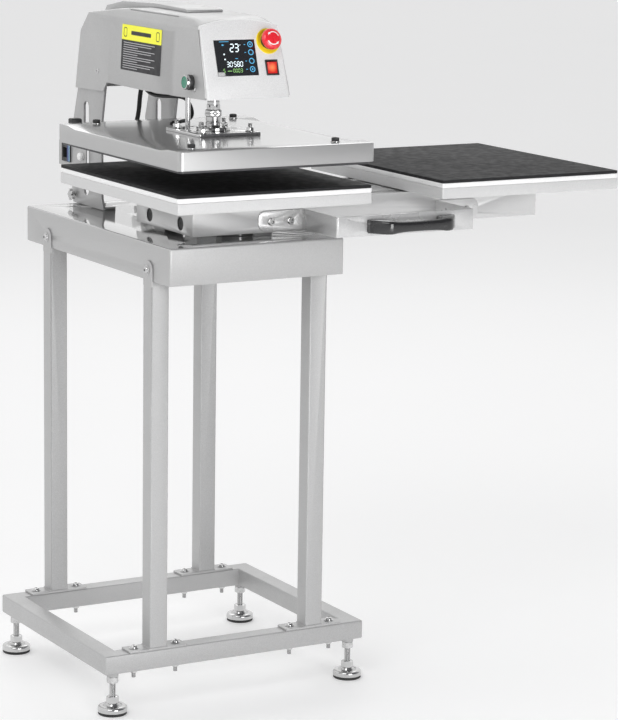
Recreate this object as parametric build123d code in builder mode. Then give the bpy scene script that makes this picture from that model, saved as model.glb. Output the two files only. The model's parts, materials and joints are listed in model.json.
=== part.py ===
from build123d import *
import os
from math import atan2, cos, pi, sin

os.makedirs("parts", exist_ok=True)

# Electric heat press with two lower platens on a sliding carriage, on a welded stand.
# Millimetres, +X to the operator's right, -Y towards the operator, +Z up, floor at Z = 0.

# ---------------------------------------------------------------- driving dimensions
stand_x = -242.6            # middle of the stand; the origin is the middle of the whole press
stand_y = 0.0
press_x = stand_x + 8.2     # thrust axis, and the middle of the heated platen
press_y = -108.8
platen_w, platen_d = 400.0, 500.0
platen_pitch = 553.0        # from one lower platen to the other, and the carriage's travel

tube = 36.0                 # square tube of the base frame
tube_wall = 2.0
base_w, base_d = 552.0, 481.0
base_top = 116.0
foot_r = 28.0
stud_r = 6.0
fit = 0.06                  # radial clearance of a sliding shaft

leg_x, leg_y = 36.0, 35.0   # leg section
leg_wall = 3.0
leg_out = 184.1             # leg's outer face from the middle of the stand
foot_plate_t = 4.0
bolt_r = 4.0
bolt_pitch = 87.0           # between the two bolts of one leg foot

table_w, table_d = 362.0, 631.0
table_y = 9.4
table_low, table_top = 813.2, 882.0
sheet = 3.0

beam_low, beam_top = 887.0, 948.0
beam_left, beam_right = stand_x - 92.6, stand_x + 663.1
beam_front, beam_rear = -223.5, 11.5
shaft_r = 10.0
shaft_z = 906.0
shaft_pitch = 128.0

platen_low = 950.0
groove_h = 1.2
platen_base_t, platen_top_t, pad_t = 20.4, 9.1, 5.8
pad_top = platen_low + platen_base_t + platen_top_t + pad_t

heater_low = 1024.0
cover_low, cover_top = 1029.0, 1064.0
cover_w, cover_d = 404.6, 513.0

plate_half = 82.0           # outer faces of the arm's two side plates, from the thrust axis
plate_t = 5.0

head_wall = 2.0
crease_y, crease_z = -244.5, 1158.0
brow_y, brow_z = -202.8, 1281.0
fascia_t = 7.0
brow_rise = 12 * pi / 180   # slope of the arched top behind the brow
brow_sag = 20.0             # drop of the brow's arc 110 mm either side of its middle
head_low, head_half_low = 1110.0, 88.6
head_high, head_half_high = 1268.0, 80.6
side_lean = atan2(head_half_low - head_half_high, head_high - head_low)


# ---------------------------------------------------------------- helpers
def write(piece, name):
    """Label a finished piece and write it to its own file."""
    piece.part.label = name
    export_step(piece.part, f"parts/{name}.step")


def block(xs, ys, zs, mode=Mode.ADD):
    """A block between two opposite corners."""
    with Locations(((xs[0] + xs[1]) / 2, (ys[0] + ys[1]) / 2, zs[0])):
        Box(
            xs[1] - xs[0],
            ys[1] - ys[0],
            zs[1] - zs[0],
            align=(Align.CENTER, Align.CENTER, Align.MIN),
            mode=mode,
        )


def posts(points, zs, radius, mode=Mode.ADD):
    """Upright cylinders at each (x, y) between two heights."""
    with Locations(*[(x, y, zs[0]) for x, y in points]):
        Cylinder(
            radius,
            zs[1] - zs[0],
            align=(Align.CENTER, Align.CENTER, Align.MIN),
            mode=mode,
        )


def rods(points, xs, radius, mode=Mode.ADD):
    """Cylinders along X at each (y, z) between two x values."""
    with Locations(*[((xs[0] + xs[1]) / 2, y, z) for y, z in points]):
        Cylinder(radius, xs[1] - xs[0], rotation=(0, 90, 0), mode=mode)


def corners(x, y, half_x, half_y):
    """The four corners of a rectangle about (x, y)."""
    return [(x + i * half_x, y + j * half_y) for i in (-1, 1) for j in (-1, 1)]


def half_width(z):
    """Half the head's width at a height, on its tapering sides."""
    return head_half_low + (head_half_high - head_half_low) * (z - head_low) / (head_high - head_low)


# ---------------------------------------------------------------- base frame and feet
foot_points = corners(stand_x, stand_y, 253.0, (base_d - tube) / 2)
leg_points = corners(stand_x, stand_y, leg_out - leg_x / 2, (base_d - tube) / 2)
leg_bolt_points = [(x + i * bolt_pitch / 2, y) for x, y in leg_points for i in (-1, 1)]
boss_h, lock_nut_h = 8.0, 12.0
tube_low = base_top - tube


def base_tube(name, along, outward, reach, length, bossed):
    """One mitred square tube of the base frame; the side tubes carry the welded foot bosses."""
    along, outward = Vector(along), Vector(outward)
    middle = Vector(stand_x, stand_y, base_top - tube / 2) + outward * reach
    with BuildPart() as piece:
        with BuildSketch(Plane(origin=middle, x_dir=(0, 0, 1), z_dir=along)):
            RectangleRounded(tube, tube, 3)
            Rectangle(tube - 2 * tube_wall, tube - 2 * tube_wall, mode=Mode.SUBTRACT)
        extrude(amount=length / 2, both=True)
        for end in (-1, 1):
            corner = middle + along * (end * length / 2) + outward * (tube / 2)
            split(bisect_by=Plane(origin=corner, z_dir=along * end - outward), keep=Keep.BOTTOM)
        posts(leg_bolt_points, (tube_low - 1, base_top + 1), bolt_r + 0.2, Mode.SUBTRACT)
        posts(foot_points, (tube_low - 1, tube_low + tube_wall + 1), stud_r + 1, Mode.SUBTRACT)
        if bossed:
            ends = [point for point in foot_points if abs(point[0] - middle.X) < tube]
            posts(ends, (tube_low - boss_h, tube_low), 11)
            posts(ends, (tube_low - boss_h, tube_low), stud_r + fit, Mode.SUBTRACT)
    write(piece, name)


def base_frame():
    """Four tubes, mitred at the corners of the frame."""
    for name, sign in (("front", -1), ("rear", 1)):
        base_tube(f"base_tube_{name}", (1, 0, 0), (0, sign, 0), (base_d - tube) / 2, base_w, False)
    for name, sign in (("left", -1), ("right", 1)):
        base_tube(f"base_tube_{name}", (0, 1, 0), (sign, 0, 0), (base_w - tube) / 2, base_d, True)


def foot_nuts():
    """Lock nuts turned up against the bosses."""
    nut_low = tube_low - boss_h - lock_nut_h
    with BuildPart() as nuts:
        with BuildSketch(Plane.XY.offset(nut_low)):
            with Locations(*foot_points):
                RegularPolygon(10, 6, major_radius=False, rotation=10)
                Circle(stud_r + fit, mode=Mode.SUBTRACT)
        extrude(amount=lock_nut_h)
    write(nuts, "foot_lock_nuts")


def levelling_foot(name, x, y):
    """Threaded stud, hexagon and steel disc in one piece, and the rubber sole under it."""
    sole_t, disc_t, neck_t, hex_t = 5.0, 12.0, 4.0, 13.0
    with BuildPart() as foot:
        posts([(x, y)], (sole_t, sole_t + disc_t), foot_r)
        rim = foot.edges().filter_by(GeomType.CIRCLE).group_by(Axis.Z)[-1]
        fillet(rim, radius=4)
        posts([(x, y)], (sole_t + disc_t, sole_t + disc_t + neck_t), 9)
        with BuildSketch(Plane.XY.offset(sole_t + disc_t + neck_t)):
            with Locations((x, y)):
                RegularPolygon(10.5, 6, major_radius=False)
        extrude(amount=hex_t)
        posts([(x, y)], (sole_t + disc_t + neck_t + hex_t, 96), stud_r)
        chamfer(foot.edges().group_by(Axis.Z)[-1], length=1)
        sole = Pos(x, y, sole_t / 2) * Cylinder(foot_r - 1, sole_t, mode=Mode.PRIVATE)
        add(sole.chamfer(1, None, sole.edges().group_by(Axis.Z)[0]))
    write(foot, f"foot_{name}")


# ---------------------------------------------------------------- legs and table
tab_bolt_z = 833.0
tab_bolt_steps = (
    (table_w / 2 - 12, leg_out, bolt_r),
    (table_w / 2 - sheet - 6, table_w / 2 - sheet, 7),
    (leg_out, leg_out + 1.6, 8.5),
    (leg_out + 1.6, leg_out + 6, 6.6),
)


def leg(name, x, y):
    """Square leg with a bolted foot plate, and its outer wall running up as a tab."""
    side = 1 if x > stand_x else -1
    with BuildPart() as piece:
        with BuildSketch(Plane.XY.offset(base_top)):
            with Locations((x, y)):
                RectangleRounded(120, 38, 3)
            with Locations((x - bolt_pitch / 2, y), (x + bolt_pitch / 2, y)):
                Circle(bolt_r + 0.2, mode=Mode.SUBTRACT)
        extrude(amount=foot_plate_t)
        with BuildSketch(Plane.XY.offset(base_top + foot_plate_t)):
            with Locations((x, y)):
                RectangleRounded(leg_x, leg_y, 2.5)
                Rectangle(leg_x - 2 * leg_wall, leg_y - 2 * leg_wall, mode=Mode.SUBTRACT)
        extrude(amount=table_low - 0.4 - base_top - foot_plate_t)
        outer_face = stand_x + side * leg_out
        with BuildSketch(Plane.YZ.offset(outer_face - side * leg_wall / 2)):
            with Locations((y, tab_bolt_z - 15)):
                Rectangle(leg_y, 30)
            with Locations((y, tab_bolt_z)):
                Circle(leg_y / 2)
                Circle(bolt_r + 0.2, mode=Mode.SUBTRACT)
        extrude(amount=leg_wall / 2, both=True)
    write(piece, name)


def leg_fasteners():
    """Bolts and nuts through the base frame, and the short bolts of the four tabs."""
    head_z = base_top + foot_plate_t
    with BuildPart() as bolts:
        posts(leg_bolt_points, (tube_low - 16, head_z), bolt_r)
        posts(leg_bolt_points, (head_z, head_z + 1.6), 8.5)
        posts(leg_bolt_points, (head_z + 1.6, head_z + 6), 6.8)
        with BuildSketch(Plane.XY.offset(tube_low - 6)):
            with Locations(*leg_bolt_points):
                RegularPolygon(6.5, 6, major_radius=False)
        extrude(amount=6)
        for x, y in leg_points:
            side = 1 if x > stand_x else -1
            for inner, outer, radius in tab_bolt_steps:
                span = sorted((stand_x + side * inner, stand_x + side * outer))
                rods([(y, tab_bolt_z)], span, radius)
    write(bolts, "stand_bolts")


block_len, block_w, block_h = 40.0, 46.0, 40.0
block_xs = (stand_x - 50.0, stand_x + 68.0)
shaft_ys = (press_y - shaft_pitch / 2, press_y + shaft_pitch / 2)
block_points = [(x, y) for x in block_xs for y in shaft_ys]
block_screw_points = [(x + i * 14, y + j * 17) for x, y in block_points for i, j in ((-1, -1), (1, 1))]
flange_points = [
    (press_x + side * (plate_half - 15), y) for side in (-1, 1) for y in (234.0, 298.0)
]


def table():
    """Folded sheet top with a deep skirt, open below."""
    with BuildPart() as top:
        with BuildSketch(Plane.XY.offset(table_low)):
            with Locations((stand_x, table_y)):
                RectangleRounded(table_w, table_d, 4)
        extrude(amount=table_top - table_low)
        fillet(top.edges().group_by(Axis.Z)[-1], radius=3.5)
        offset(amount=-sheet, openings=top.faces().sort_by(Axis.Z)[0])
        for y in {point[1] for point in leg_points}:
            rods([(y, tab_bolt_z)], (stand_x - table_w, stand_x + table_w), bolt_r + 0.2, Mode.SUBTRACT)
        posts(block_screw_points, (table_top - 10, table_top + 1), 3.2, Mode.SUBTRACT)
        posts(flange_points, (table_top - 10, table_top + 1), 4.2, Mode.SUBTRACT)
    write(top, "table_top")


def slide_bearings():
    """Four bearing blocks on the table that carry the carriage's shafts."""
    with BuildPart() as blocks:
        for x, y in block_points:
            block(
                (x - block_len / 2, x + block_len / 2),
                (y - block_w / 2, y + block_w / 2),
                (table_top, table_top + block_h),
            )
        posts(block_screw_points, (table_top - 1, table_top + block_h + 1), 3.2, Mode.SUBTRACT)
        rods([(y, shaft_z) for y in shaft_ys], (beam_left, beam_right), shaft_r + fit, Mode.SUBTRACT)
    write(blocks, "slide_bearings")


def table_fasteners():
    """Screws of the bearing blocks and of the arm's flanges, with their nuts."""
    with BuildPart() as screws:
        posts(block_screw_points, (table_top - 12, table_top + block_h), 3)
        posts(block_screw_points, (table_top + block_h, table_top + block_h + 6), 5)
        posts(block_screw_points, (table_top - sheet - 5, table_top - sheet), 5.5)
        posts(flange_points, (table_top - sheet - 9, table_top + plate_t), 4)
        posts(flange_points, (table_top + plate_t, table_top + plate_t + 6), 6.8)
        posts(flange_points, (table_top - sheet - 6, table_top - sheet), 7)
    write(screws, "table_screws")


# ---------------------------------------------------------------- carriage and lower platens
holder_t = 12.0
platen_xs = {"left": press_x, "right": press_x + platen_pitch}
strap_low, strap_high = 890.0, 928.0
strap_left, strap_right = stand_x + 136.4, stand_x + 433.8
strap_front = -355.7
tab_len = 93.0
strap_bolt_xs = [
    strap_left - 25, strap_left - 66, strap_right + 25, strap_right + 66,
]
handle_x = (strap_left + strap_right) / 2 + 7.5
handle_screw_x = 75.0
handle_z = 908.5
platen_screw_offsets = (145.0, 75.0)


def platen_screw_points(x):
    """The four screws that hold one lower platen to the beam."""
    return corners(x, press_y, 70, 85) if x == press_x else corners(x - 30, press_y, 55, 85)


def carriage_beam():
    """Shallow folded box, open below, that carries both lower platens."""
    end_holes = [(y, shaft_z) for y in shaft_ys]
    with BuildPart() as beam:
        block((beam_left, beam_right), (beam_front, beam_rear), (beam_low, beam_top))
        fillet(beam.edges().filter_by(Axis.Z), radius=1.5)
        fillet(beam.edges().group_by(Axis.Z)[-1], radius=1.5)
        offset(amount=-sheet, openings=beam.faces().sort_by(Axis.Z)[0])
        rods(end_holes, (beam_left - 1, beam_right + 1), 12.5, Mode.SUBTRACT)
        for x in platen_xs.values():
            posts(platen_screw_points(x), (beam_top - 10, beam_top + 1), 4.2, Mode.SUBTRACT)
        with Locations(*[(x, beam_front, 907) for x in strap_bolt_xs]):
            Cylinder(4.2, 20, rotation=(90, 0, 0), mode=Mode.SUBTRACT)
    write(beam, "carriage_beam")


def carriage_shafts():
    """Two ground shafts, the blocks that hold their ends, and the black end caps."""
    inner = (beam_left + sheet, beam_right - sheet)
    with BuildPart() as shafts:
        rods([(y, shaft_z) for y in shaft_ys], inner, shaft_r)
        chamfer(shafts.edges().filter_by(GeomType.CIRCLE), length=0.6)
    write(shafts, "carriage_shafts")
    with BuildPart() as holders:
        for y in shaft_ys:
            for low in (inner[0], inner[1] - holder_t):
                block((low, low + holder_t), (y - 22, y + 22), (beam_low + 3, beam_top - sheet))
        rods([(y, shaft_z) for y in shaft_ys], inner, shaft_r, Mode.SUBTRACT)
    write(holders, "shaft_holders")
    with BuildPart() as caps:
        for low in (beam_left + 0.6, beam_right - sheet):
            rods([(y, shaft_z) for y in shaft_ys], (low, low + sheet - 0.6), 12.4)
    write(caps, "shaft_end_caps")


def platen_outline(height, inset, corner):
    """The outline of both lower platens at a height, drawn in by an inset."""
    with BuildSketch(Plane.XY.offset(height)) as outline:
        with Locations(*[(x, press_y) for x in platen_xs.values()]):
            RectangleRounded(platen_w - 2 * inset, platen_d - 2 * inset, corner)
    return outline.sketch


def lower_platens():
    """Platen bases, ground top plates with a groove under them, and silicone pads."""
    z = platen_low
    with BuildPart() as bases:
        extrude(platen_outline(z, 0, 2.5), amount=platen_base_t)
        for x in platen_xs.values():
            posts(platen_screw_points(x), (z - 1, z + 12), 4, Mode.SUBTRACT)
    write(bases, "platen_bases")
    z = z + platen_base_t
    with BuildPart() as plates:
        extrude(platen_outline(z, 1.2, 2), amount=groove_h)
        extrude(platen_outline(z + groove_h, 0, 2.5), amount=platen_top_t - groove_h)
        chamfer(plates.edges().group_by(Axis.Z)[-1], length=0.6)
    write(plates, "platen_plates")
    z = z + platen_top_t
    with BuildPart() as pads:
        extrude(platen_outline(z, 0.5, 3), amount=pad_t)
        fillet(pads.edges().group_by(Axis.Z)[-1], radius=1)
    write(pads, "silicone_pads")


def platen_fixings():
    """Spacer washers and the screws that come up through the beam."""
    points = [point for x in platen_xs.values() for point in platen_screw_points(x)]
    with BuildPart() as screws:
        posts(points, (beam_top - sheet, platen_low + 11.5), 4)
        posts(points, (beam_top, platen_low), 12)
        posts(points, (beam_top - sheet - 5, beam_top - sheet), 7)
    write(screws, "platen_screws")


def pull_strap():
    """Flat bar bent to a U in front of the beam, with rounded tabs bolted to the beam."""
    with BuildPart() as strap:
        with BuildSketch(Plane.XY.offset(strap_low)):
            with BuildLine():
                Polyline(
                    (strap_left - tab_len, beam_front),
                    (strap_left - tab_len, beam_front - sheet),
                    (strap_left, beam_front - sheet),
                    (strap_left, strap_front),
                    (strap_right, strap_front),
                    (strap_right, beam_front - sheet),
                    (strap_right + tab_len, beam_front - sheet),
                    (strap_right + tab_len, beam_front),
                    (strap_right - sheet, beam_front),
                    (strap_right - sheet, strap_front + sheet),
                    (strap_left + sheet, strap_front + sheet),
                    (strap_left + sheet, beam_front),
                    close=True,
                )
            make_face()
        extrude(amount=strap_high - strap_low)
        bends = strap.edges().filter_by(Axis.Z)
        fillet(bends.filter_by_position(Axis.Y, strap_front - 1, strap_front + 1), radius=3.5)
        ends = strap.edges().filter_by(Axis.Y)
        outer = ends.sort_by(Axis.X)
        fillet(outer[:2] + outer[-2:], radius=15)
        with Locations(*[(x, beam_front, 907) for x in strap_bolt_xs]):
            Cylinder(4.2, 20, rotation=(90, 0, 0), mode=Mode.SUBTRACT)
        with Locations(*[(handle_x + i * handle_screw_x, strap_front, handle_z) for i in (-1, 1)]):
            Cylinder(3.2, 20, rotation=(90, 0, 0), mode=Mode.SUBTRACT)
    write(strap, "pull_strap")
    with BuildPart() as bolts:
        for x in strap_bolt_xs:
            with Locations((x, beam_front - sheet / 2 + 4, 907)):
                Cylinder(4, 19, rotation=(90, 0, 0))
            with Locations((x, beam_front - sheet - 2.5, 907)):
                Cylinder(6.8, 5, rotation=(90, 0, 0))
            with Locations((x, beam_front + sheet + 3, 907)):
                Cylinder(6.8, 6, rotation=(90, 0, 0))
        for i in (-1, 1):
            with Locations((handle_x + i * handle_screw_x, strap_front - 2, handle_z)):
                Cylinder(3, 18, rotation=(90, 0, 0))
            with Locations((handle_x + i * handle_screw_x, strap_front + sheet + 2.5, handle_z)):
                Cylinder(5.5, 5, rotation=(90, 0, 0))
    write(bolts, "strap_fasteners")


def pull_handle():
    """Moulded bow handle: two feet against the strap and a bar in front of it."""
    reach, bar_t, foot_l, length, height = 44.0, 17.0, 34.0, 184.0, 25.0
    back = strap_front
    half = length / 2
    with BuildPart() as grip:
        with BuildSketch(Plane.XY.offset(handle_z - height / 2)):
            with BuildLine():
                Polyline(
                    (handle_x - half, back),
                    (handle_x - half, back - 12),
                    (handle_x - half + 22, back - reach),
                    (handle_x + half - 22, back - reach),
                    (handle_x + half, back - 12),
                    (handle_x + half, back),
                    (handle_x + half - foot_l, back),
                    (handle_x + half - foot_l - 4, back - reach + bar_t),
                    (handle_x - half + foot_l + 4, back - reach + bar_t),
                    (handle_x - half + foot_l, back),
                    close=True,
                )
            bow = make_face()
            fillet(bow.vertices().sort_by(Axis.Y)[:2], radius=16)
            bar_back = back - reach + bar_t
            inner = bow.vertices().filter_by_position(Axis.Y, bar_back - 1, bar_back + 1)
            fillet(inner, radius=9)
        extrude(amount=height)
        front = grip.edges().filter_by(lambda edge: edge.center().Y < back - 5)
        fillet(front.group_by(Axis.Z)[-1] + front.group_by(Axis.Z)[0], radius=4)
        with Locations(*[(handle_x + i * handle_screw_x, back, handle_z) for i in (-1, 1)]):
            Cylinder(3, 24, rotation=(90, 0, 0), mode=Mode.SUBTRACT)
    write(grip, "pull_handle")


# ---------------------------------------------------------------- heated platen and thrust stack
mount_t = 6.0
mount_top = cover_top + mount_t
flange_t = 6.0
cap_screw_points = [
    (press_x + x, press_y + y) for x, y in ((-156, -215), (138, -219), (156, 215), (-138, 219))
]
mount_stud_points = corners(press_x, press_y, 50, 53)
flange_screw_points = corners(press_x, press_y, 16.5, 16.5)
collar_low = mount_top + flange_t + 19.0
collar_top = collar_low + 12.6
rod_top = 1216.0
guide_x, guide_y = press_x - 23.0, press_y + 60.0
rod_r, guide_r = 11.0, 5.0


def cover_block(inset):
    """Outer form of the platen cover, drawn in by an inset for its inner form."""
    half_w, half_d = cover_w / 2 - inset, cover_d / 2 - inset
    top = cover_top - inset
    with BuildPart() as form:
        with BuildSketch(Plane.XY.offset(cover_low - (1 if inset else 0))):
            with Locations((press_x, press_y)):
                RectangleRounded(2 * half_w, 2 * half_d, 10 - inset)
        extrude(amount=top - cover_low + (1 if inset else 0))
        for side in (-1, 1):
            with BuildSketch(Plane.XZ.offset(-press_y)):
                with BuildLine():
                    Polyline(
                        (press_x + side * 157, top),
                        (press_x + side * (half_w - 3), top - 5),
                        (press_x + side * (half_w + 9), top - 5),
                        (press_x + side * (half_w + 9), top + 8),
                        (press_x + side * 157, top + 8),
                        close=True,
                    )
                make_face()
            extrude(amount=half_d - 44, both=True, mode=Mode.SUBTRACT)
    return form.part


def platen_cover():
    """Pressed steel cover, open below, with a shallow recess along each long side."""
    with BuildPart() as cover:
        add(cover_block(0))
        add(cover_block(2), mode=Mode.SUBTRACT)
        points = cap_screw_points + mount_stud_points
        posts(points, (cover_top - 12, cover_top + 1), 4.2, Mode.SUBTRACT)
        posts([(guide_x, guide_y)], (cover_top - 12, cover_top + 1), guide_r + 0.5, Mode.SUBTRACT)
        posts([lead_entry], (cover_top - 12, cover_top + 1), lead_r + 5, Mode.SUBTRACT)
    write(cover, "platen_cover")
    with BuildPart() as heater:
        with BuildSketch(Plane.XY.offset(heater_low)):
            with Locations((press_x, press_y)):
                RectangleRounded(cover_w - 12, cover_d - 12, 8)
        extrude(amount=20)
        chamfer(heater.edges().group_by(Axis.Z)[0], length=1)
        posts(cap_screw_points, (heater_low + 8, heater_low + 21), 4, Mode.SUBTRACT)
    write(heater, "heating_plate")


def cover_fasteners():
    """Black cap screws down to the heating plate, and the thermostat housing at the rear."""
    with BuildPart() as screws:
        posts(cap_screw_points, (heater_low + 8.5, cover_top), 4)
        posts(cap_screw_points, (cover_top, cover_top + 2), 9)
        posts(cap_screw_points, (cover_top + 2, cover_top + 8), 7)
        fillet(screws.edges().group_by(Axis.Z)[-1], radius=1)
    write(screws, "cover_cap_screws")
    rear = press_y + cover_d / 2
    with BuildPart() as cutout:
        block((press_x - 173, press_x - 151), (rear, rear + 18), (1036, 1071))
        fillet(cutout.edges().filter_by(Axis.Z).sort_by(Axis.Y)[-2:], radius=4)
        fillet(cutout.edges().group_by(Axis.Z)[-1], radius=3)
    write(cutout, "thermostat_cover")


def mounting_plate():
    """Square plate on the cover, its corner studs, and the flange in its middle."""
    with BuildPart() as plate:
        with BuildSketch(Plane.XY.offset(cover_top)):
            with Locations((press_x, press_y)):
                RectangleRounded(131, 138, 4)
        extrude(amount=mount_t)
        posts(mount_stud_points, (cover_top - 1, mount_top + 1), 4.2, Mode.SUBTRACT)
        posts(flange_screw_points, (cover_top - 1, mount_top + 1), 3, Mode.SUBTRACT)
        posts([(guide_x, guide_y)], (cover_top - 1, mount_top + 1), guide_r, Mode.SUBTRACT)
    write(plate, "mounting_plate")
    with BuildPart() as studs:
        posts(mount_stud_points, (cover_top - 9, mount_top + 15), 4)
        posts(mount_stud_points, (mount_top, mount_top + 1.6), 9)
        posts(mount_stud_points, (cover_top - 8, cover_top - 2), 7)
        with BuildSketch(Plane.XY.offset(mount_top + 1.6)):
            with Locations(*mount_stud_points):
                RegularPolygon(6.5, 6, major_radius=False)
        extrude(amount=6.5)
        posts(flange_screw_points, (cover_top, mount_top + flange_t), 3)
        posts(flange_screw_points, (mount_top + flange_t, mount_top + flange_t + 7), 5)
        posts(flange_screw_points, (mount_top + flange_t + 4, mount_top + flange_t + 8), 2.5, Mode.SUBTRACT)
    write(studs, "mounting_screws")
    with BuildPart() as flange:
        posts([(press_x, press_y)], (mount_top, mount_top + flange_t), 32)
        chamfer(flange.edges().group_by(Axis.Z)[-1], length=1)
        posts([(press_x, press_y)], (mount_top + flange_t, collar_low), 14.2)
        posts(flange_screw_points, (mount_top - 1, mount_top + flange_t + 1), 3.2, Mode.SUBTRACT)
        posts([(press_x, press_y)], (mount_top + 4, collar_low + 1), 8, Mode.SUBTRACT)
    write(flange, "thrust_flange")


def thrust_rod():
    """Chromed rod down into the flange, with its upper nut, and the knurled collar."""
    with BuildPart() as rod:
        posts([(press_x, press_y)], (mount_top + 4, collar_top), 8)
        posts([(press_x, press_y)], (collar_top, rod_top), rod_r)
        chamfer(rod.edges().group_by(Axis.Z)[-1], length=1)
        with BuildSketch(Plane.XY.offset(collar_top)):
            with Locations((press_x, press_y)):
                RegularPolygon(12.4, 8, major_radius=False)
        extrude(amount=9)
    write(rod, "thrust_rod")
    with BuildPart() as collar:
        with BuildSketch(Plane.XY.offset(collar_low + 0.2)):
            with Locations((press_x, press_y)):
                Circle(15.8)
                with PolarLocations(15.9, 30):
                    Circle(0.7, mode=Mode.SUBTRACT)
                Circle(8 + fit, mode=Mode.SUBTRACT)
        extrude(amount=collar_top - collar_low - 0.4)
    write(collar, "pressure_collar")
    with BuildPart() as guide:
        posts([(guide_x, guide_y)], (cover_top - 1.5, rod_top - 10), guide_r)
        chamfer(guide.edges().group_by(Axis.Z)[-1], length=1)
    write(guide, "guide_rod")


# ---------------------------------------------------------------- arm
arm_low, arm_top = 1146.0, 1190.0
bed_low, bed_t = 1150.0, 8.0
socket_y, socket_z = (349.0, 379.0), (965.0, 993.0)


def inlet_bracket():
    """Welded bracket of the mains inlet, outside the left plate and reaching behind it."""
    outer = press_x - plate_half
    block((outer - 3, outer), (272, 400), (952, 1001))
    block((outer - 4, outer + 1), socket_y, socket_z, Mode.SUBTRACT)


def arm_plates():
    """Two upright plates with a forward arm inside the head and a flange on the table."""
    for label, side in (("left", -1), ("right", 1)):
        with BuildPart() as plate:
            with BuildSketch(Plane.YZ.offset(press_x + side * (plate_half - plate_t / 2))):
                with BuildLine():
                    Polyline(
                        (197, table_top),
                        (206, 905),
                        (208, 1050),
                        (194, 1114),
                        (188, 1140),
                        (180, arm_low),
                        (-148, arm_low),
                        (-148, arm_top - 12),
                        (-136, arm_top),
                        (270, arm_top),
                        (288, 1176),
                        (294, 1150),
                        (316, 1112),
                        (337, 1050),
                        (344, 905),
                        (338, table_top),
                        close=True,
                    )
                make_face()
                with Locations((277, 996.5)):
                    SlotOverall(187, 24, rotation=90, mode=Mode.SUBTRACT)
            extrude(amount=plate_t / 2, both=True)
            inner = press_x + side * (plate_half - plate_t)
            foot = sorted((inner, inner - side * 26))
            block(foot, (206, 334), (table_top, table_top + plate_t))
            posts(flange_points, (table_top - 1, table_top + plate_t + 1), 4.2, Mode.SUBTRACT)
            rods(tie_points, (press_x - 100, press_x + 100), 4.2, Mode.SUBTRACT)
            if label == "left":
                inlet_bracket()
        write(plate, f"arm_plate_{label}")


tie_points = [(249.0, 1170.0), (277.0, 1150.0), (60.0, 1170.0)]
unit_front, unit_low = 150.0, 1168.0


def arm_ties():
    """Spacer tubes that hold the two plates apart, and the bed that carries the actuator."""
    gap = (press_x - plate_half + plate_t, press_x + plate_half - plate_t)
    with BuildPart() as ties:
        rods(tie_points, gap, 9)
        rods(tie_points, (gap[0] - plate_t, gap[1] + plate_t), 4)
    write(ties, "arm_ties")
    with BuildPart() as bed:
        block(gap, (press_y - 38, press_y + 100), (bed_low, bed_low + bed_t))
        posts([(press_x, press_y)], (bed_low - 6, bed_low + 14), 18)
        posts([(press_x, press_y)], (bed_low - 7, bed_low + 15), rod_r + fit, Mode.SUBTRACT)
        posts([(guide_x, guide_y)], (bed_low - 6, bed_low + 14), 9)
        posts([(guide_x, guide_y)], (bed_low - 7, bed_low + 15), guide_r + fit, Mode.SUBTRACT)
    write(bed, "actuator_bed")


def actuator():
    """The electric actuator standing on the bed, and the power unit behind it."""
    with BuildPart() as housing:
        low = bed_low + bed_t
        block((press_x - 34, press_x + 34), (press_y - 38, press_y + 38), (low, 1262))
        fillet(housing.edges().filter_by(Axis.Z), radius=8)
        posts([(press_x, press_y)], (low - 1, rod_top + 4), 19, Mode.SUBTRACT)
    with BuildPart() as unit:
        block((press_x - 50, press_x + 50), (unit_front, 236), (unit_low, 1240))
        fillet(unit.edges().filter_by(Axis.Z), radius=4)
    with BuildPart() as drive:
        add(housing.part)
        add(unit.part)
    write(drive, "drive_units")


# ---------------------------------------------------------------- head covers
side_outline = [
    (-247, 1140),
    (crease_y, crease_z),
    (brow_y, brow_z),
    (-145, 1285),
    (62, 1287),
    (142, 1281),
    (267, 1266),
    (301, 1228),
    (310, 1148),
    (313, 1114),
    (186, 1118),
    (172, 1136),
    (17, 1135),
    (-131, 1137),
]


def head_form(inset):
    """The head's outer form, or the space inside it for a given wall."""
    with BuildPart() as form:
        with BuildSketch(Plane.YZ.offset(press_x)):
            with BuildLine():
                Polyline(*side_outline, close=True)
            make_face()
            if inset:
                offset(amount=-inset)
                with Locations((65, 1130)):
                    Rectangle(470, 60)
                with Locations((-206, 1160)):
                    Rectangle(72, 60)
                with Locations((245, 1130)):
                    Rectangle(126, 80)
        extrude(amount=120, both=True)
        half_low = half_width(1060) - inset
        half_high = half_width(1264) - inset
        knee = half_high - 16
        with BuildSketch(Plane.XZ):
            with BuildLine():
                Polyline(
                    (press_x - half_high, 1264 - inset),
                    (press_x - half_low, 1060),
                    (press_x + half_low, 1060),
                    (press_x + half_high, 1264 - inset),
                )
                ThreePointArc(
                    (press_x + half_high, 1264 - inset),
                    (press_x + knee + 10.5, 1277 - inset),
                    (press_x + knee, 1285 - inset),
                )
                ThreePointArc(
                    (press_x + knee, 1285 - inset),
                    (press_x, 1291 - inset),
                    (press_x - knee, 1285 - inset),
                )
                ThreePointArc(
                    (press_x - knee, 1285 - inset),
                    (press_x - knee - 10.5, 1277 - inset),
                    (press_x - half_high, 1264 - inset),
                )
            make_face()
        extrude(amount=400, both=True, mode=Mode.INTERSECT)
        rise = Plane(
            origin=(press_x, brow_y, brow_z - inset),
            x_dir=(1, 0, 0),
            z_dir=(0, -cos(brow_rise), -sin(brow_rise)),
        )
        with BuildSketch(rise):
            with BuildLine():
                ThreePointArc((-110, -brow_sag), (0, 0), (110, -brow_sag))
                Polyline((110, -brow_sag), (110, 60), (-110, 60), (-110, -brow_sag))
            make_face()
        extrude(amount=60, both=True, mode=Mode.SUBTRACT)
    return form.part


face_plane = Plane(
    origin=(press_x, crease_y, crease_z),
    x_dir=(1, 0, 0),
    z_dir=(0, -(brow_z - crease_z), brow_y - crease_y),
)
seam_y = -125.0


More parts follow.
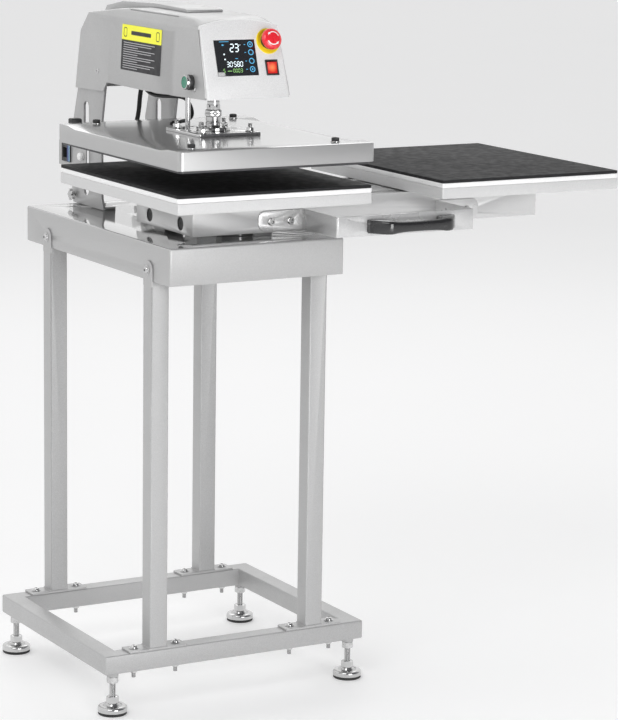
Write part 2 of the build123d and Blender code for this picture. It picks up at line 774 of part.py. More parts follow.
def on_face(across, up, out=0.0):
    """A plane on the fascia, measured from the middle of its lower crease."""
    origin = face_plane.from_local_coords((across, up, out))
    return Plane(origin=origin, x_dir=face_plane.x_dir, z_dir=face_plane.z_dir)


def on_left_side(y, z, out=0.0):
    """A plane on the head's left side."""
    normal = Vector(-cos(side_lean), 0, sin(side_lean))
    origin = Vector(press_x - half_width(z), y, z) + normal * out
    return Plane(origin=origin, x_dir=(0, -1, 0), z_dir=normal)


def disc(plane, radius, depth, mode=Mode.ADD):
    """A cylinder standing on a plane."""
    with Locations(plane.location):
        Cylinder(radius, depth, align=(Align.CENTER, Align.CENTER, Align.MIN), mode=mode)


def slab(plane, width, height, depth, mode=Mode.ADD):
    """A block standing on a plane."""
    with Locations(plane.location):
        Box(width, height, depth, align=(Align.CENTER, Align.CENTER, Align.MIN), mode=mode)


def head_covers():
    """Fascia, front housing, rear cover and the raised cover along the top of the head."""
    outer = head_form(0)
    inner = head_form(head_wall)
    behind_face = face_plane.offset(-fascia_t)
    seam = Plane(origin=(0, seam_y, 0), z_dir=(0, 1, 0))
    with BuildPart() as fascia:
        add(outer)
        split(bisect_by=behind_face, keep=Keep.TOP)
        slab(on_face(*display_at, -1.5), display_w + 0.4, display_h + 0.4, 20, Mode.SUBTRACT)
        slab(on_face(*rocker_at, -20), 22, 25, 40, Mode.SUBTRACT)
        disc(on_face(*stop_at, -20), 11.2, 40, Mode.SUBTRACT)
    write(fascia, "front_fascia")
    with BuildPart() as housing:
        add(outer)
        add(inner, mode=Mode.SUBTRACT)
        split(bisect_by=behind_face, keep=Keep.BOTTOM)
        split(bisect_by=seam, keep=Keep.BOTTOM)
        disc(on_left_side(*start_at, -20), 11.2, 40, Mode.SUBTRACT)
    write(housing, "front_housing")
    with BuildPart() as cover:
        add(outer)
        add(inner, mode=Mode.SUBTRACT)
        split(bisect_by=seam, keep=Keep.TOP)
        for side in (-1, 1):
            outer_face = press_x + side * (plate_half + 0.4)
            span = sorted((outer_face, outer_face - side * (plate_t + 0.8)))
            block(span, (298, 330), (1100, 1138), Mode.SUBTRACT)
    write(cover, "rear_cover")
    with BuildPart() as spine:
        with BuildSketch(Plane.YZ.offset(press_x)):
            with BuildLine():
                Polyline(
                    (-72, 1250),
                    (-72, 1290),
                    (-60, 1293),
                    (70, 1295),
                    (205, 1290),
                    (276, 1278),
                    (288, 1262),
                    (290, 1232),
                    close=True,
                )
            make_face()
        extrude(amount=38, both=True)
        fillet(spine.edges().filter_by(Axis.Y, tolerance=15).group_by(Axis.Z)[-1], radius=2)
        add(outer, mode=Mode.SUBTRACT)
    write(spine, "top_spine")


# ---------------------------------------------------------------- controls
display_at, display_w, display_h = (-15.0, 58.7), 84.0, 67.4
stop_at = (55.4, 88.2)
rocker_at = (56.0, 38.4)
start_at = (-185.0, 1167.0)


def emergency_stop():
    """Yellow ring with its threaded barrel, the sliding stem, and the mushroom cap on it."""
    with BuildPart() as base:
        disc(on_face(*stop_at), 24, 1.6)
        disc(on_face(*stop_at, 1.6), 15.5, 6)
        disc(on_face(*stop_at, -24), 11, 24)
        disc(on_face(*stop_at, -25), 7 + fit, 40, Mode.SUBTRACT)
    write(base, "stop_base")
    with BuildPart() as stem:
        disc(on_face(*stop_at, -22), 7, 34)
        disc(on_face(*stop_at, 12), 4, 7)
    write(stem, "stop_stem")
    middle = on_face(*stop_at)
    with BuildPart() as cap:
        with BuildSketch(Plane(origin=middle.origin, x_dir=middle.x_dir, z_dir=-middle.y_dir)) as half:
            with BuildLine():
                Polyline((4 + fit, 12.2), (19, 12.2), (20, 13.2), (20, 16.5))
                ThreePointArc((20, 16.5), (17, 21), (9, 23.6))
                Polyline((9, 23.6), (0, 24), (0, 19.2), (4 + fit, 19.2), (4 + fit, 12.2))
            make_face()
        revolve(axis=Axis(middle.origin, middle.z_dir))
    write(cap, "stop_cap")


def rocker():
    """Bezel with its body behind the fascia, and the rocker on its cross pin."""
    with BuildPart() as bezel:
        slab(on_face(*rocker_at), 26, 29.4, 2)
        slab(on_face(*rocker_at, -16), 21.6, 24.6, 16)
        slab(on_face(*rocker_at, -9), 20, 23.4, 20, Mode.SUBTRACT)
    write(bezel, "rocker_bezel")
    pivot = on_face(*rocker_at, -2)
    side = Plane(origin=pivot.origin, x_dir=pivot.y_dir, z_dir=pivot.x_dir)
    with BuildPart() as key:
        with BuildSketch(side) as outline:
            with BuildLine():
                Polyline((-10.4, -1), (-10.4, 5.2), (0, 3.4), (10.4, 5.2), (10.4, -1))
                ThreePointArc((10.4, -1), (0, -5), (-10.4, -1))
            make_face()
            fillet(outline.vertices().group_by(Axis.Y)[-1], radius=0.6)
        extrude(amount=9.6, both=True)
    pressed = key.part.rotate(Axis(pivot.origin, pivot.x_dir), rocker_tilt)
    with BuildPart() as switch:
        add(pressed)
    write(switch, "rocker_switch")


rocker_tilt = 9.0


def start_button():
    """Black collar and chrome ring on the head's left side, and the green button in them."""
    with BuildPart() as collar:
        disc(on_left_side(*start_at), 14, 8)
        disc(on_left_side(*start_at, -11), 11, 11)
        disc(on_left_side(*start_at, -12), 9.3, 40, Mode.SUBTRACT)
    with BuildPart() as ring:
        disc(on_left_side(*start_at, 8), 13.4, 7)
        chamfer(ring.edges().filter_by(GeomType.CIRCLE).sort_by(Axis.X)[0], length=1)
        disc(on_left_side(*start_at, 7), 11 + fit, 20, Mode.SUBTRACT)
    with BuildPart() as bezel:
        add(collar.part)
        add(ring.part.moved(Location(Vector(-cos(side_lean), 0, sin(side_lean)) * 0.02)))
    write(bezel, "start_bezel")
    with BuildPart() as button:
        disc(on_left_side(*start_at, 11.5), 11, 3)
        disc(on_left_side(*start_at, -7), 9.3 - fit, 19)
    write(button, "start_button")


def display():
    """Glass of the display, let into the fascia."""
    with BuildPart() as glass:
        slab(on_face(*display_at, -1.5), display_w, display_h, 2)
    write(glass, "display_glass")


# ---------------------------------------------------------------- cables and mains inlet
lead_r = 3.5
lead_entry = (stand_x + 10.0, 50.0)
lead_route = [
    (stand_x + x, y, z)
    for x, y, z in (
        (-24, 132, 1196),
        (-24, 133, 1160),
        (-24, 124, 1131),
        (-21, 97, 1118),
        (-14, 65, 1117),
        (-6, 34, 1119.5),
        (2, 4, 1120.7),
        (7, -10.3, 1112.5),
        (12, -14.9, 1097),
        (15, -8.6, 1083.4),
        (14, 14, 1073.5),
        (11, 38, 1070.5),
        (9, 57, 1057),
    )
]
conduit_r = 4.5
gland_at = (246.0, 999.0)
conduit_route = [
    (stand_x + x, y, z)
    for x, y, z in (
        (18, 208, unit_low - 0.2),
        (18, 209, 1138),
        (17, 221, 1105),
        (17, 226, 1070),
        (11, 230, 1038),
        (-9, 240, 1009),
        (-44, *gland_at),
        (press_x - stand_x - plate_half + plate_t + 0.2, *gland_at),
    )
]


def cable(name, route, radius):
    """Round cable along straight runs joined by tangent arcs as large as the runs allow."""
    points = [Vector(*point) for point in route]
    radii = []
    for before, here, after in zip(points, points[1:], points[2:]):
        turn = (here - before).get_angle(after - here) * pi / 180
        shorter = min((here - before).length, (after - here).length)
        radii.append(0.45 * shorter / (sin(turn / 2) / cos(turn / 2)))
    print(name, "radii", [round(value, 1) for value in radii])
    with BuildPart() as tube_piece:
        with BuildLine() as path:
            FilletPolyline(*points, radius=radii)
        start = Plane(origin=points[0], z_dir=points[1] - points[0])
        with BuildSketch(start):
            Circle(radius)
        sweep()
    length = path.wires()[0].length
    ratio = tube_piece.part.volume / (pi * radius**2 * length)
    print(name, "length", round(length, 1), "volume over section times length", round(ratio, 3))
    write(tube_piece, name)


def mains_inlet():
    """Socket body in its bracket, and the conduit's gland and reset knob on the left plate."""
    outer = press_x - plate_half
    low_y, high_y = socket_y
    low_z, high_z = socket_z
    with BuildPart() as socket:
        block((outer - 6, outer - 3), (low_y - 7, high_y + 2), (low_z - 4, high_z + 4))
        fillet(socket.edges().group_by(Axis.X)[0], radius=1)
        block((outer - 3, outer + 16), (low_y + 0.2, high_y - 0.2), (low_z + 0.2, high_z - 0.2))
        block((outer - 7, outer + 12), (low_y + 4, high_y - 4), (low_z + 4, high_z - 4), Mode.SUBTRACT)
    write(socket, "mains_inlet")
    with BuildPart() as fittings:
        rods([(289, 979)], (outer - 12, outer - 3), 8)
        fillet(fittings.edges().sort_by(Axis.X)[0], radius=4)
        inner = outer + plate_t
        rods([gland_at], (inner, inner + 12), 8)
        rods([gland_at], (inner - 1, inner + 13), conduit_r, Mode.SUBTRACT)
    write(fittings, "plate_fittings")


base_frame()
foot_nuts()
for foot_name, (foot_x, foot_y) in zip(
    ("front_left", "rear_left", "front_right", "rear_right"), foot_points
):
    levelling_foot(foot_name, foot_x, foot_y)
for leg_name, (leg_cx, leg_cy) in zip(
    ("front_left", "rear_left", "front_right", "rear_right"), leg_points
):
    leg(f"leg_{leg_name}", leg_cx, leg_cy)
leg_fasteners()
table()
slide_bearings()
table_fasteners()
carriage_beam()
carriage_shafts()
lower_platens()
platen_fixings()
pull_strap()
pull_handle()
platen_cover()
cover_fasteners()
mounting_plate()
thrust_rod()
arm_plates()
arm_ties()
actuator()
head_covers()
emergency_stop()
rocker()
start_button()
display()
cable("heater_lead", lead_route, lead_r)
cable("rear_conduit", conduit_route, conduit_r)
mains_inlet()
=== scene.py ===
import json
import math

import bmesh
import bpy
from mathutils import Matrix, Vector
from mathutils.bvhtree import BVHTree

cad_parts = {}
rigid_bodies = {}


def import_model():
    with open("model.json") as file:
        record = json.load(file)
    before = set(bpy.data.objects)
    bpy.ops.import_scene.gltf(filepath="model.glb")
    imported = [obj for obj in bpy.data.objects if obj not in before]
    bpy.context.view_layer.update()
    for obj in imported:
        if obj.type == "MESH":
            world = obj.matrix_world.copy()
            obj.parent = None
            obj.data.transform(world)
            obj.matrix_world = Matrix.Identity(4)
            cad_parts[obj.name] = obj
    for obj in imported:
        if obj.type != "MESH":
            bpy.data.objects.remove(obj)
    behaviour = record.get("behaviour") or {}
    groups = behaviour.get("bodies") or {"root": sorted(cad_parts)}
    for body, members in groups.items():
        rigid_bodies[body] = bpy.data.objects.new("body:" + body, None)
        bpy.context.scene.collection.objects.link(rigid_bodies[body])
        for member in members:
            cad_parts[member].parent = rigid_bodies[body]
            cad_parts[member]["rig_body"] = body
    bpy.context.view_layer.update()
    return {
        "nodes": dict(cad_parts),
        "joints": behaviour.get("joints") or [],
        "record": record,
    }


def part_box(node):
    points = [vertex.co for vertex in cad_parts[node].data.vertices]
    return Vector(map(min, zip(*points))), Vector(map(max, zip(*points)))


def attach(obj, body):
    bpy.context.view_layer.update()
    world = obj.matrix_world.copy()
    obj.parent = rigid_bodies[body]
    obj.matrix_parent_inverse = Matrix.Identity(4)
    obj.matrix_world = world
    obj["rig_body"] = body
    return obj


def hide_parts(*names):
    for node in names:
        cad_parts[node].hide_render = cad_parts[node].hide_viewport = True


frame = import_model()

nodes = frame["nodes"]
joints = {joint["name"]: joint for joint in frame["joints"]}
TURN = 2 * math.pi


# ---------------------------------------------------------------- material building
def material(name, base, rough, metallic=0.0, **more):
    """A material with one Principled shader; more sets its other sockets by name."""
    made = bpy.data.materials.new(name)
    made.use_nodes = True
    shader = shader_of(made)
    shader.inputs["Base Color"].default_value = (*base, 1)
    shader.inputs["Roughness"].default_value = rough
    shader.inputs["Metallic"].default_value = metallic
    for socket, value in more.items():
        shader.inputs[socket.replace("_", " ")].default_value = value
    return made


def shader_of(mat):
    return mat.node_tree.nodes["Principled BSDF"]


def added(tree, kind, **inputs):
    """A new shader node; inputs sets its sockets by name."""
    made = tree.nodes.new("ShaderNode" + kind)
    for socket, value in inputs.items():
        made.inputs[socket].default_value = value
    return made


def noise(mat, size, detail=3.0, stretch=(1, 1, 1), centre=(0, 0, 0)):
    """Noise in the piece's own coordinates, with grains of about this size in metres."""
    tree = mat.node_tree
    place = added(tree, "TexCoord")
    shape = added(tree, "Mapping", Scale=stretch, Location=centre)
    texture = added(tree, "TexNoise", Scale=1 / size, Detail=detail)
    tree.links.new(place.outputs["Object"], shape.inputs["Vector"])
    tree.links.new(shape.outputs["Vector"], texture.inputs["Vector"])
    return texture.outputs["Fac"]


def facing(mat):
    """How far a face looks up, from its own normal."""
    tree = mat.node_tree
    place, parts = added(tree, "TexCoord"), added(tree, "SeparateXYZ")
    tree.links.new(place.outputs["Normal"], parts.inputs[0])
    return parts.outputs["Z"]


def edges(mat):
    """High on convex edges, low in hollows."""
    return added(mat.node_tree, "NewGeometry").outputs["Pointiness"]


def vary(mat, socket, source, low, high, span=(0.35, 0.65)):
    """Drives one shader socket between two numbers by a pattern."""
    tree = mat.node_tree
    names = ("From Min", "From Max", "To Min", "To Max")
    ramp = added(tree, "MapRange", **dict(zip(names, (*span, low, high))))
    tree.links.new(source, ramp.inputs["Value"])
    tree.links.new(ramp.outputs["Result"], shader_of(mat).inputs[socket])


def tint(mat, source, stops, socket="Base Color"):
    """Drives a colour socket through (place, colour) stops by a pattern."""
    tree = mat.node_tree
    ramp = added(tree, "ValToRGB")
    while len(ramp.color_ramp.elements) < len(stops):
        ramp.color_ramp.elements.new(0.5)
    for element, (place, colour) in zip(ramp.color_ramp.elements, stops):
        element.position = place
        element.color = (*colour, 1)
    tree.links.new(source, ramp.inputs["Fac"])
    tree.links.new(ramp.outputs["Color"], shader_of(mat).inputs[socket])


def emboss(mat, source, height, strength=1.0):
    """Adds a bump of this height in metres on top of the earlier ones."""
    tree = mat.node_tree
    normal = shader_of(mat).inputs["Normal"]
    bump = added(tree, "Bump", Distance=height, Strength=strength)
    if normal.is_linked:
        tree.links.new(normal.links[0].from_socket, bump.inputs["Normal"])
    tree.links.new(source, bump.inputs["Height"])
    tree.links.new(bump.outputs["Normal"], normal)


def shade(value, warm=0.0):
    """A near-neutral grey."""
    return (value + warm, value, value - warm)


# ---------------------------------------------------------------- finishes
def powder_coat(name, value, rough, metallic=0.35):
    """Silver powder coat: fine sparkling grain, slight orange peel, soft clear layer."""
    mat = material(name, shade(value), rough, metallic, Coat_Weight=0.15, Coat_Roughness=0.3)
    grain = noise(mat, 0.0011, 2)
    tint(mat, grain, [(0.3, shade(value * 0.9)), (0.5, shade(value)), (0.72, shade(min(1, value * 1.14)))])
    vary(mat, "Roughness", noise(mat, 0.05, 3), rough - 0.05, rough + 0.06)
    emboss(mat, grain, 0.00005, 0.35)
    emboss(mat, noise(mat, 0.006, 2), 0.00008, 0.25)
    return mat


def gloss_silver(name, value, top_rough, side_rough):
    """Smooth silver coat: polished on its flat top, satin on its sides."""
    mat = material(name, shade(value), side_rough, 0.55, Coat_Weight=0.4, Coat_Roughness=0.08)
    tint(mat, noise(mat, 0.0013, 2), [(0.3, shade(value * 0.94)), (0.7, shade(value * 1.05))])
    vary(mat, "Roughness", facing(mat), side_rough, top_rough, (0.6, 0.98))
    emboss(mat, noise(mat, 0.011, 2), 0.00004, 0.15)
    return mat


def brushed(name, value, rough, stretch, metallic=1.0):
    """Metal with fine brush lines across the stretched axes."""
    mat = material(name, shade(value), rough, metallic)
    lines = noise(mat, 0.0009, 3, stretch)
    tint(mat, lines, [(0.3, shade(value * 0.9)), (0.7, shade(min(1, value * 1.07)))])
    vary(mat, "Roughness", lines, rough * 0.8, rough * 1.3)
    emboss(mat, lines, 0.00002, 0.4)
    return mat


def plated(name, value, rough):
    """Bright plating: near mirror, with faint clouding, painted shade in hollows and a painted highlight on
    convex edges.
    """
    mat = material(name, shade(value), rough, 1.0)
    # Painted shade and painted highlight: darker in hollows, lighter on convex edges, by pointiness.
    tint(mat, edges(mat), [(0.46, shade(value * 0.8)), (0.5, shade(value)),
        (0.58, shade(min(1, value * 1.15)))])
    vary(mat, "Roughness", noise(mat, 0.006, 4), rough * 0.7, rough * 1.8)
    emboss(mat, noise(mat, 0.0015, 2), 0.00001, 0.2)
    return mat


def moulded(name, colour, rough, grain=0.0008, height=0.00006, **more):
    """Moulded plastic or rubber with a fine eroded texture, and a painted highlight on its convex edges."""
    mat = material(name, colour, rough, 0.0, **more)
    edge_highlight = tuple(min(1, c * 1.35 + 0.012) for c in colour)
    texture = noise(mat, grain, 3)
    # Painted highlight: convex edges made lighter than the plastic's own colour.
    tint(mat, edges(mat), [(0.47, colour), (0.6, edge_highlight)])
    vary(mat, "Roughness", noise(mat, 0.014, 3), rough - 0.07, min(1, rough + 0.08))
    emboss(mat, texture, height, 0.4)
    return mat


def glow(name, colour, strength, centre, reach, rim):
    """Lit plastic, brightest about a centre and fading towards its rim colour."""
    mat = material(name, rim, 0.25, 0.0, Emission_Strength=strength, Coat_Weight=0.6)
    tree = mat.node_tree
    place = added(tree, "TexCoord")
    shape = added(tree, "Mapping", Location=centre, Scale=(reach, reach, reach))
    shape.vector_type = "TEXTURE"
    ball = added(tree, "TexGradient")
    ball.gradient_type = "SPHERICAL"
    tree.links.new(place.outputs["Object"], shape.inputs["Vector"])
    tree.links.new(shape.outputs["Vector"], ball.inputs["Vector"])
    stops = [(0.0, rim), (0.55, tuple((a + b) / 2 for a, b in zip(rim, colour))), (1.0, colour)]
    tint(mat, ball.outputs["Fac"], stops, "Emission Color")
    emboss(mat, noise(mat, 0.002, 2), 0.00003, 0.3)
    return mat


def lit_ink(name, colour, strength):
    """Light shown through the display glass, slightly uneven."""
    mat = material(name, colour, 0.4, 0.0, Emission_Strength=strength)
    dim = tuple(c * 0.8 for c in colour)
    tint(mat, noise(mat, 0.004, 2), [(0.3, dim), (0.6, colour)], "Emission Color")
    return mat


stand_paint = powder_coat("stand_powder_coat", 0.46, 0.42)
plate_paint = powder_coat("plate_powder_coat", 0.44, 0.38, 0.5)
head_paint = powder_coat("head_metallic_coat", 0.46, 0.38, 0.3)
fascia_paint = powder_coat("fascia_satin_coat", 0.78, 0.38, 0.1)
table_coat = gloss_silver("table_gloss_coat", 0.47, 0.09, 0.36)
beam_coat = gloss_silver("beam_satin_coat", 0.62, 0.2, 0.3)
strap_coat = powder_coat("strap_silver_coat", 0.60, 0.3, 0.4)
cover_metal = gloss_silver("cover_brushed_silver", 0.46, 0.2, 0.32)
base_satin = powder_coat("platen_base_coat", 0.62, 0.4, 0.1)
plate_satin = powder_coat("platen_plate_satin", 0.88, 0.35, 0.1)
heater_coat = moulded("heater_dark_coat", (0.035, 0.035, 0.038), 0.4, 0.0012)
silicone = moulded("silicone_sponge", (0.010, 0.010, 0.011), 0.7, 0.0007, 0.00012, Specular_IOR_Level=0.25)
chrome = plated("bright_chrome", 0.56, 0.09)
nickel = plated("satin_nickel", 0.52, 0.2)
ground = brushed("ground_steel", 0.66, 0.22, (0.06, 1, 1))
cast = brushed("machined_aluminium", 0.5, 0.35, (1, 0.1, 1))
black_matt = moulded("black_moulded", (0.018, 0.018, 0.019), 0.5)
black_gloss = moulded("black_gloss_grip", (0.009, 0.009, 0.010), 0.2, 0.0012, 0.00003, Coat_Weight=0.5,
    Coat_Roughness=0.1)
rubber = moulded("black_rubber", (0.012, 0.012, 0.012), 0.7, 0.0009, 0.0001)
cable_sheath = moulded("cable_sheath", (0.012, 0.012, 0.013), 0.42, 0.002, 0.00005)
screen_glass = moulded("display_black_glass", (0.004, 0.005, 0.007), 0.06, 0.02, 0.00001,
    Coat_Weight=1.0, Coat_Roughness=0.02)
stop_red = moulded("stop_red_cap", (0.72, 0.012, 0.025), 0.24, 0.003, 0.00004, Coat_Weight=0.6,
    Coat_Roughness=0.1)
stop_yellow = moulded("stop_yellow_ring", (0.88, 0.62, 0.015), 0.35, 0.002, 0.00004)
start_green = moulded("start_green_button", (0.008, 0.20, 0.115), 0.3, 0.002, 0.00005, Coat_Weight=0.4)
mark_white = moulded("white_marking", (0.86, 0.86, 0.86), 0.4, 0.002, 0.00003)
knob_white = moulded("white_knob", (0.80, 0.80, 0.79), 0.35, 0.002, 0.00004)
label_yellow = moulded("label_yellow_field", (0.90, 0.82, 0.02), 0.38, 0.003, 0.00002)
label_dark = moulded("label_dark_field", (0.016, 0.016, 0.018), 0.5, 0.003, 0.00002, Specular_IOR_Level=0.3)
label_rule = moulded("label_grey_rules", (0.45, 0.45, 0.46), 0.45, 0.003, 0.00002)
socket_blue = moulded("socket_blue", (0.012, 0.03, 0.13), 0.35)
socket_cyan = moulded("socket_pale_blue", (0.30, 0.52, 0.68), 0.35)


# ---------------------------------------------------------------- mesh building
def linked(name, data):
    """An object in the scene for this mesh, curve, lamp or camera."""
    made = bpy.data.objects.new(name, data)
    bpy.context.scene.collection.objects.link(made)
    return made


def finished(name, bm, mat, body, slot, smooth=32, stands_for=()):
    """Turns a mesh under construction into a piece that rides on a body."""
    bmesh.ops.recalc_face_normals(bm, faces=bm.faces)
    mesh = bpy.data.meshes.new(name)
    bm.to_mesh(mesh)
    bm.free()
    mesh.materials.append(mat)
    mesh.shade_smooth()
    mesh.set_sharp_from_angle(angle=math.radians(smooth))
    piece = linked(name, mesh)
    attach(piece, body)
    if stands_for:
        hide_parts(*stands_for)
    return piece


def placed(origin, normal=(0, 0, 1), across=(1, 0, 0)):
    """A matrix at a point, with its Z along a normal and its X along a direction."""
    z = Vector(normal).normalized()
    x = Vector(across)
    x = (x - z * z.dot(x)).normalized()
    made = Matrix((x, z.cross(x), z)).transposed().to_4x4()
    made.translation = origin
    return made


def bridge(bm, one, two):
    """Faces between two closed loops of the same count."""
    for i in range(len(one)):
        j = (i + 1) % len(one)
        bm.faces.new((one[i], one[j], two[j], two[i]))


def turned(bm, rings, place=Matrix(), steps=48):
    """A turned form about Z. A ring is (radius, height); each may be a function of the angle."""
    loops = []
    for radius, height in rings:
        loop = []
        for i in range(steps):
            angle = TURN * i / steps
            r = radius(angle) if callable(radius) else radius
            z = height(angle) if callable(height) else height
            loop.append(bm.verts.new(place @ Vector((r * math.cos(angle), r * math.sin(angle), z))))
        loops.append(loop)
    for low, high in zip(loops, loops[1:]):
        bridge(bm, low, high)
    bm.faces.new(loops[0][::-1])
    bm.faces.new(loops[-1])


def turned_piece(name, rings, place, steps, *look, **more):
    """A piece made of one turned form."""
    bm = bmesh.new()
    turned(bm, rings, place, steps)
    return finished(name, bm, *look, **more)


def upright(spot):
    """A placed plane on the floor under a point, facing up."""
    return Matrix.Translation((spot.x, spot.y, 0))


def hexagon(flat, turn=0.0):
    """Radius of a hexagon by angle, from its middle-to-flat distance."""
    def radius(angle):
        return flat / math.cos((angle + turn) % (TURN / 6) - TURN / 12)
    return radius


def knurled(radius, count, depth):
    """Radius of a fluted edge by angle."""
    def at(angle):
        return radius - depth * (0.5 + 0.5 * math.cos(count * angle))
    return at


def nut_rings(flat, low, high, turn=0.0):
    """A hexagon nut whose corners are chamfered at both ends."""
    side = hexagon(flat, turn)
    rim = flat * 0.96
    slope = 0.55
    def lower(angle):
        return low + (side(angle) - rim) * slope
    def upper(angle):
        return high - (side(angle) - rim) * slope
    return [(rim, low), (side, lower), (side, upper), (rim, high)]


def thread_rings(radius, low, high, pitch=0.00125):
    """Crests and roots of a screw thread."""
    rings = []
    count = int((high - low) / pitch)
    for i in range(count):
        z = low + i * pitch
        rings += [(radius, z), (radius, z + pitch * 0.3), (radius * 0.91, z + pitch * 0.65)]
    return rings + [(radius, high - 0.0006), (radius * 0.88, high)]


def dome_rings(radius, low, high, socket):
    """A button head: washer face, domed top, and a hexagon socket."""
    rise = high - low
    rings = [(radius * 0.98, low), (radius, low + rise * 0.16)]
    for i in range(1, 6):
        angle = math.radians(15 * i)
        rings.append((socket * 1.25 + (radius - socket * 1.25) * math.cos(angle),
            low + rise * math.sin(angle)))
    return rings + [(hexagon(socket), high), (hexagon(socket), high - rise * 0.6)]


def cap_rings(radius, low, high, socket, flutes=30):
    """A socket cap head: fluted side, chamfered rim and a hexagon socket."""
    edge = radius * 0.06
    side = knurled(radius, flutes, radius * 0.035)
    return [
        (radius * 0.95, low), (side, low + edge), (side, high - edge * 2), (radius * 0.9, high),
        (hexagon(socket * 1.08), high), (hexagon(socket), high - edge),
        (hexagon(socket), high - (high - low) * 0.55),
    ]


def washer_rings(radius, low, high):
    """A plain washer with a slightly rounded rim."""
    edge = (high - low) * 0.3
    return [(radius - edge, low), (radius, low + edge), (radius, high - edge), (radius - edge, high)]


def islands(node):
    """The box and middle of each separate solid of a CAD node, from left to right."""
    bm = bmesh.new()
    bm.from_mesh(nodes[node].data)
    bmesh.ops.remove_doubles(bm, verts=bm.verts, dist=1e-6)
    left = set(bm.verts)
    found = []
    while left:
        group, edge = [], [left.pop()]
        while edge:
            vert = edge.pop()
            group.append(vert.co.copy())
            near = {e.other_vert(vert) for e in vert.link_edges} & left
            left -= near
            edge += near
        low = Vector(min(co[i] for co in group) for i in range(3))
        high = Vector(max(co[i] for co in group) for i in range(3))
        found.append((low, high, (low + high) / 2))
    bm.free()
    return sorted(found, key=lambda box: tuple(round(v, 4) for v in box[0]))


def round_edges(bm, width, segments, chosen=None, angle=33, convex=True):
    """Rounds the sharp outer edges that pass a test on their middle and direction."""
    sharp = []
    for edge in bm.edges:
        if len(edge.link_faces) != 2 or edge.calc_face_angle() < math.radians(angle):
            continue
        if convex and not edge.is_convex:
            continue
        a, b = (vert.co for vert in edge.verts)
        if chosen is None or chosen((a + b) / 2, (b - a).normalized()):
            sharp.append(edge)
    bmesh.ops.bevel(
        bm, geom=sharp, offset=width, segments=segments, profile=0.5, affect="EDGES", clamp_overlap=False
    )


def cad_copy(node):
    """A CAD node's form as a clean mesh with whole faces."""
    bm = bmesh.new()
    bm.from_mesh(nodes[node].data)
    bmesh.ops.remove_doubles(bm, verts=bm.verts, dist=2e-6)
    bmesh.ops.dissolve_limit(bm, angle_limit=math.radians(0.4), verts=bm.verts, edges=bm.edges)
    return bm


def softened(node, width, mat, segments=2, chosen=None):
    """Stands for a CAD node with its edges rounded as folded or ground metal is."""
    bm = cad_copy(node)
    round_edges(bm, width, segments, chosen)
    body = nodes[node]["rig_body"]
    return finished(node + "_shaped", bm, mat, body, slot_of(node), stands_for=[node])


def slot_of(node):
    for part in frame["record"]["subparts"]:
        if part["node"] == node:
            return part["material_slot"]
    return None


def surface(node, start, direction):
    """Where a ray meets a CAD node: the point and the face's normal."""
    mesh = nodes[node].data
    tree = BVHTree.FromPolygons([v.co for v in mesh.vertices], [p.vertices for p in mesh.polygons])
    point, normal, _, _ = tree.ray_cast(Vector(start), Vector(direction))
    return point, normal


def outline_prism(bm, points, low, high, place=Matrix()):
    """A prism on a closed outline in the placed plane, between two heights."""
    bottom = [bm.verts.new(place @ Vector((x, y, low))) for x, y in points]
    top = [bm.verts.new(place @ Vector((x, y, high))) for x, y in points]
    bridge(bm, bottom, top)
    bm.faces.new(bottom[::-1])
    return bm.faces.new(top)


def rounded_rectangle(width, height, radius, steps=6, centre=(0, 0)):
    """The outline of a rectangle with round corners, anticlockwise."""
    points = []
    for k, (i, j) in enumerate(((1, 1), (-1, 1), (-1, -1), (1, -1))):
        for s in range(steps + 1):
            angle = TURN / 4 * (k + s / steps)
            x = centre[0] + i * (width / 2 - radius) + radius * math.cos(angle)
            y = centre[1] + j * (height / 2 - radius) + radius * math.sin(angle)
            points.append((x, y))
    return points


def cut(piece, bm):
    """Cuts a form out of a piece."""
    mesh = bpy.data.meshes.new("cutter")
    bmesh.ops.recalc_face_normals(bm, faces=bm.faces)
    bm.to_mesh(mesh)
    bm.free()
    cutter = linked("cutter", mesh)
    modifier = piece.modifiers.new("cut", "BOOLEAN")
    modifier.object = cutter
    modifier.solver = "EXACT"
    bpy.context.view_layer.update()
    result = piece.evaluated_get(bpy.context.evaluated_depsgraph_get())
    cleared = bpy.data.meshes.new_from_object(result)
    piece.modifiers.clear()
    piece.data = cleared
    bpy.data.objects.remove(cutter)


def middle(box):
    return (box[0] + box[1]) / 2


# ---------------------------------------------------------------- stand
LEGS = ("leg_front_left", "leg_rear_left", "leg_front_right", "leg_rear_right")


def base_frame():
    """The welded ring of square tube, ground smooth at its mitres, with the foot bosses."""
    tubes = ["base_tube_front", "base_tube_rear", "base_tube_left", "base_tube_right"]
    boxes = [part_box(name) for name in tubes]
    low = Vector(min(box[0][i] for box in boxes) for i in range(3))
    high = Vector(max(box[1][i] for box in boxes) for i in range(3))
    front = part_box("base_tube_front")
    size = front[1].y - front[0].y
    centre = (low + high) / 2
    top = high.z
    fillet_r, corner_r, corner_steps = 0.003, 0.0035, 5
    bm = bmesh.new()
    loops = []
    for depth, rise in rounded_rectangle(size, size, fillet_r, 4, (size / 2, -size / 2)):
        half_x, half_y = high.x - centre.x - depth, high.y - centre.y - depth
        radius = max(corner_r - depth, 0.0004)
        outline = rounded_rectangle(2 * half_x, 2 * half_y, radius, corner_steps)
        loops.append([bm.verts.new((centre.x + x, centre.y + y, top + rise)) for x, y in outline])
    for one, two in zip(loops, loops[1:] + loops[:1]):
        bridge(bm, one, two)
    for box in islands("foot_lock_nuts"):
        spot = middle(box)
        boss = [(0.0105, box[1].z), (0.011, box[1].z + 0.0008), (0.011, top - size + 0.0001)]
        turned(bm, boss, upright(spot), 36)
    finished("base_frame", bm, stand_paint, "frame", "stand_paint", stands_for=tubes)


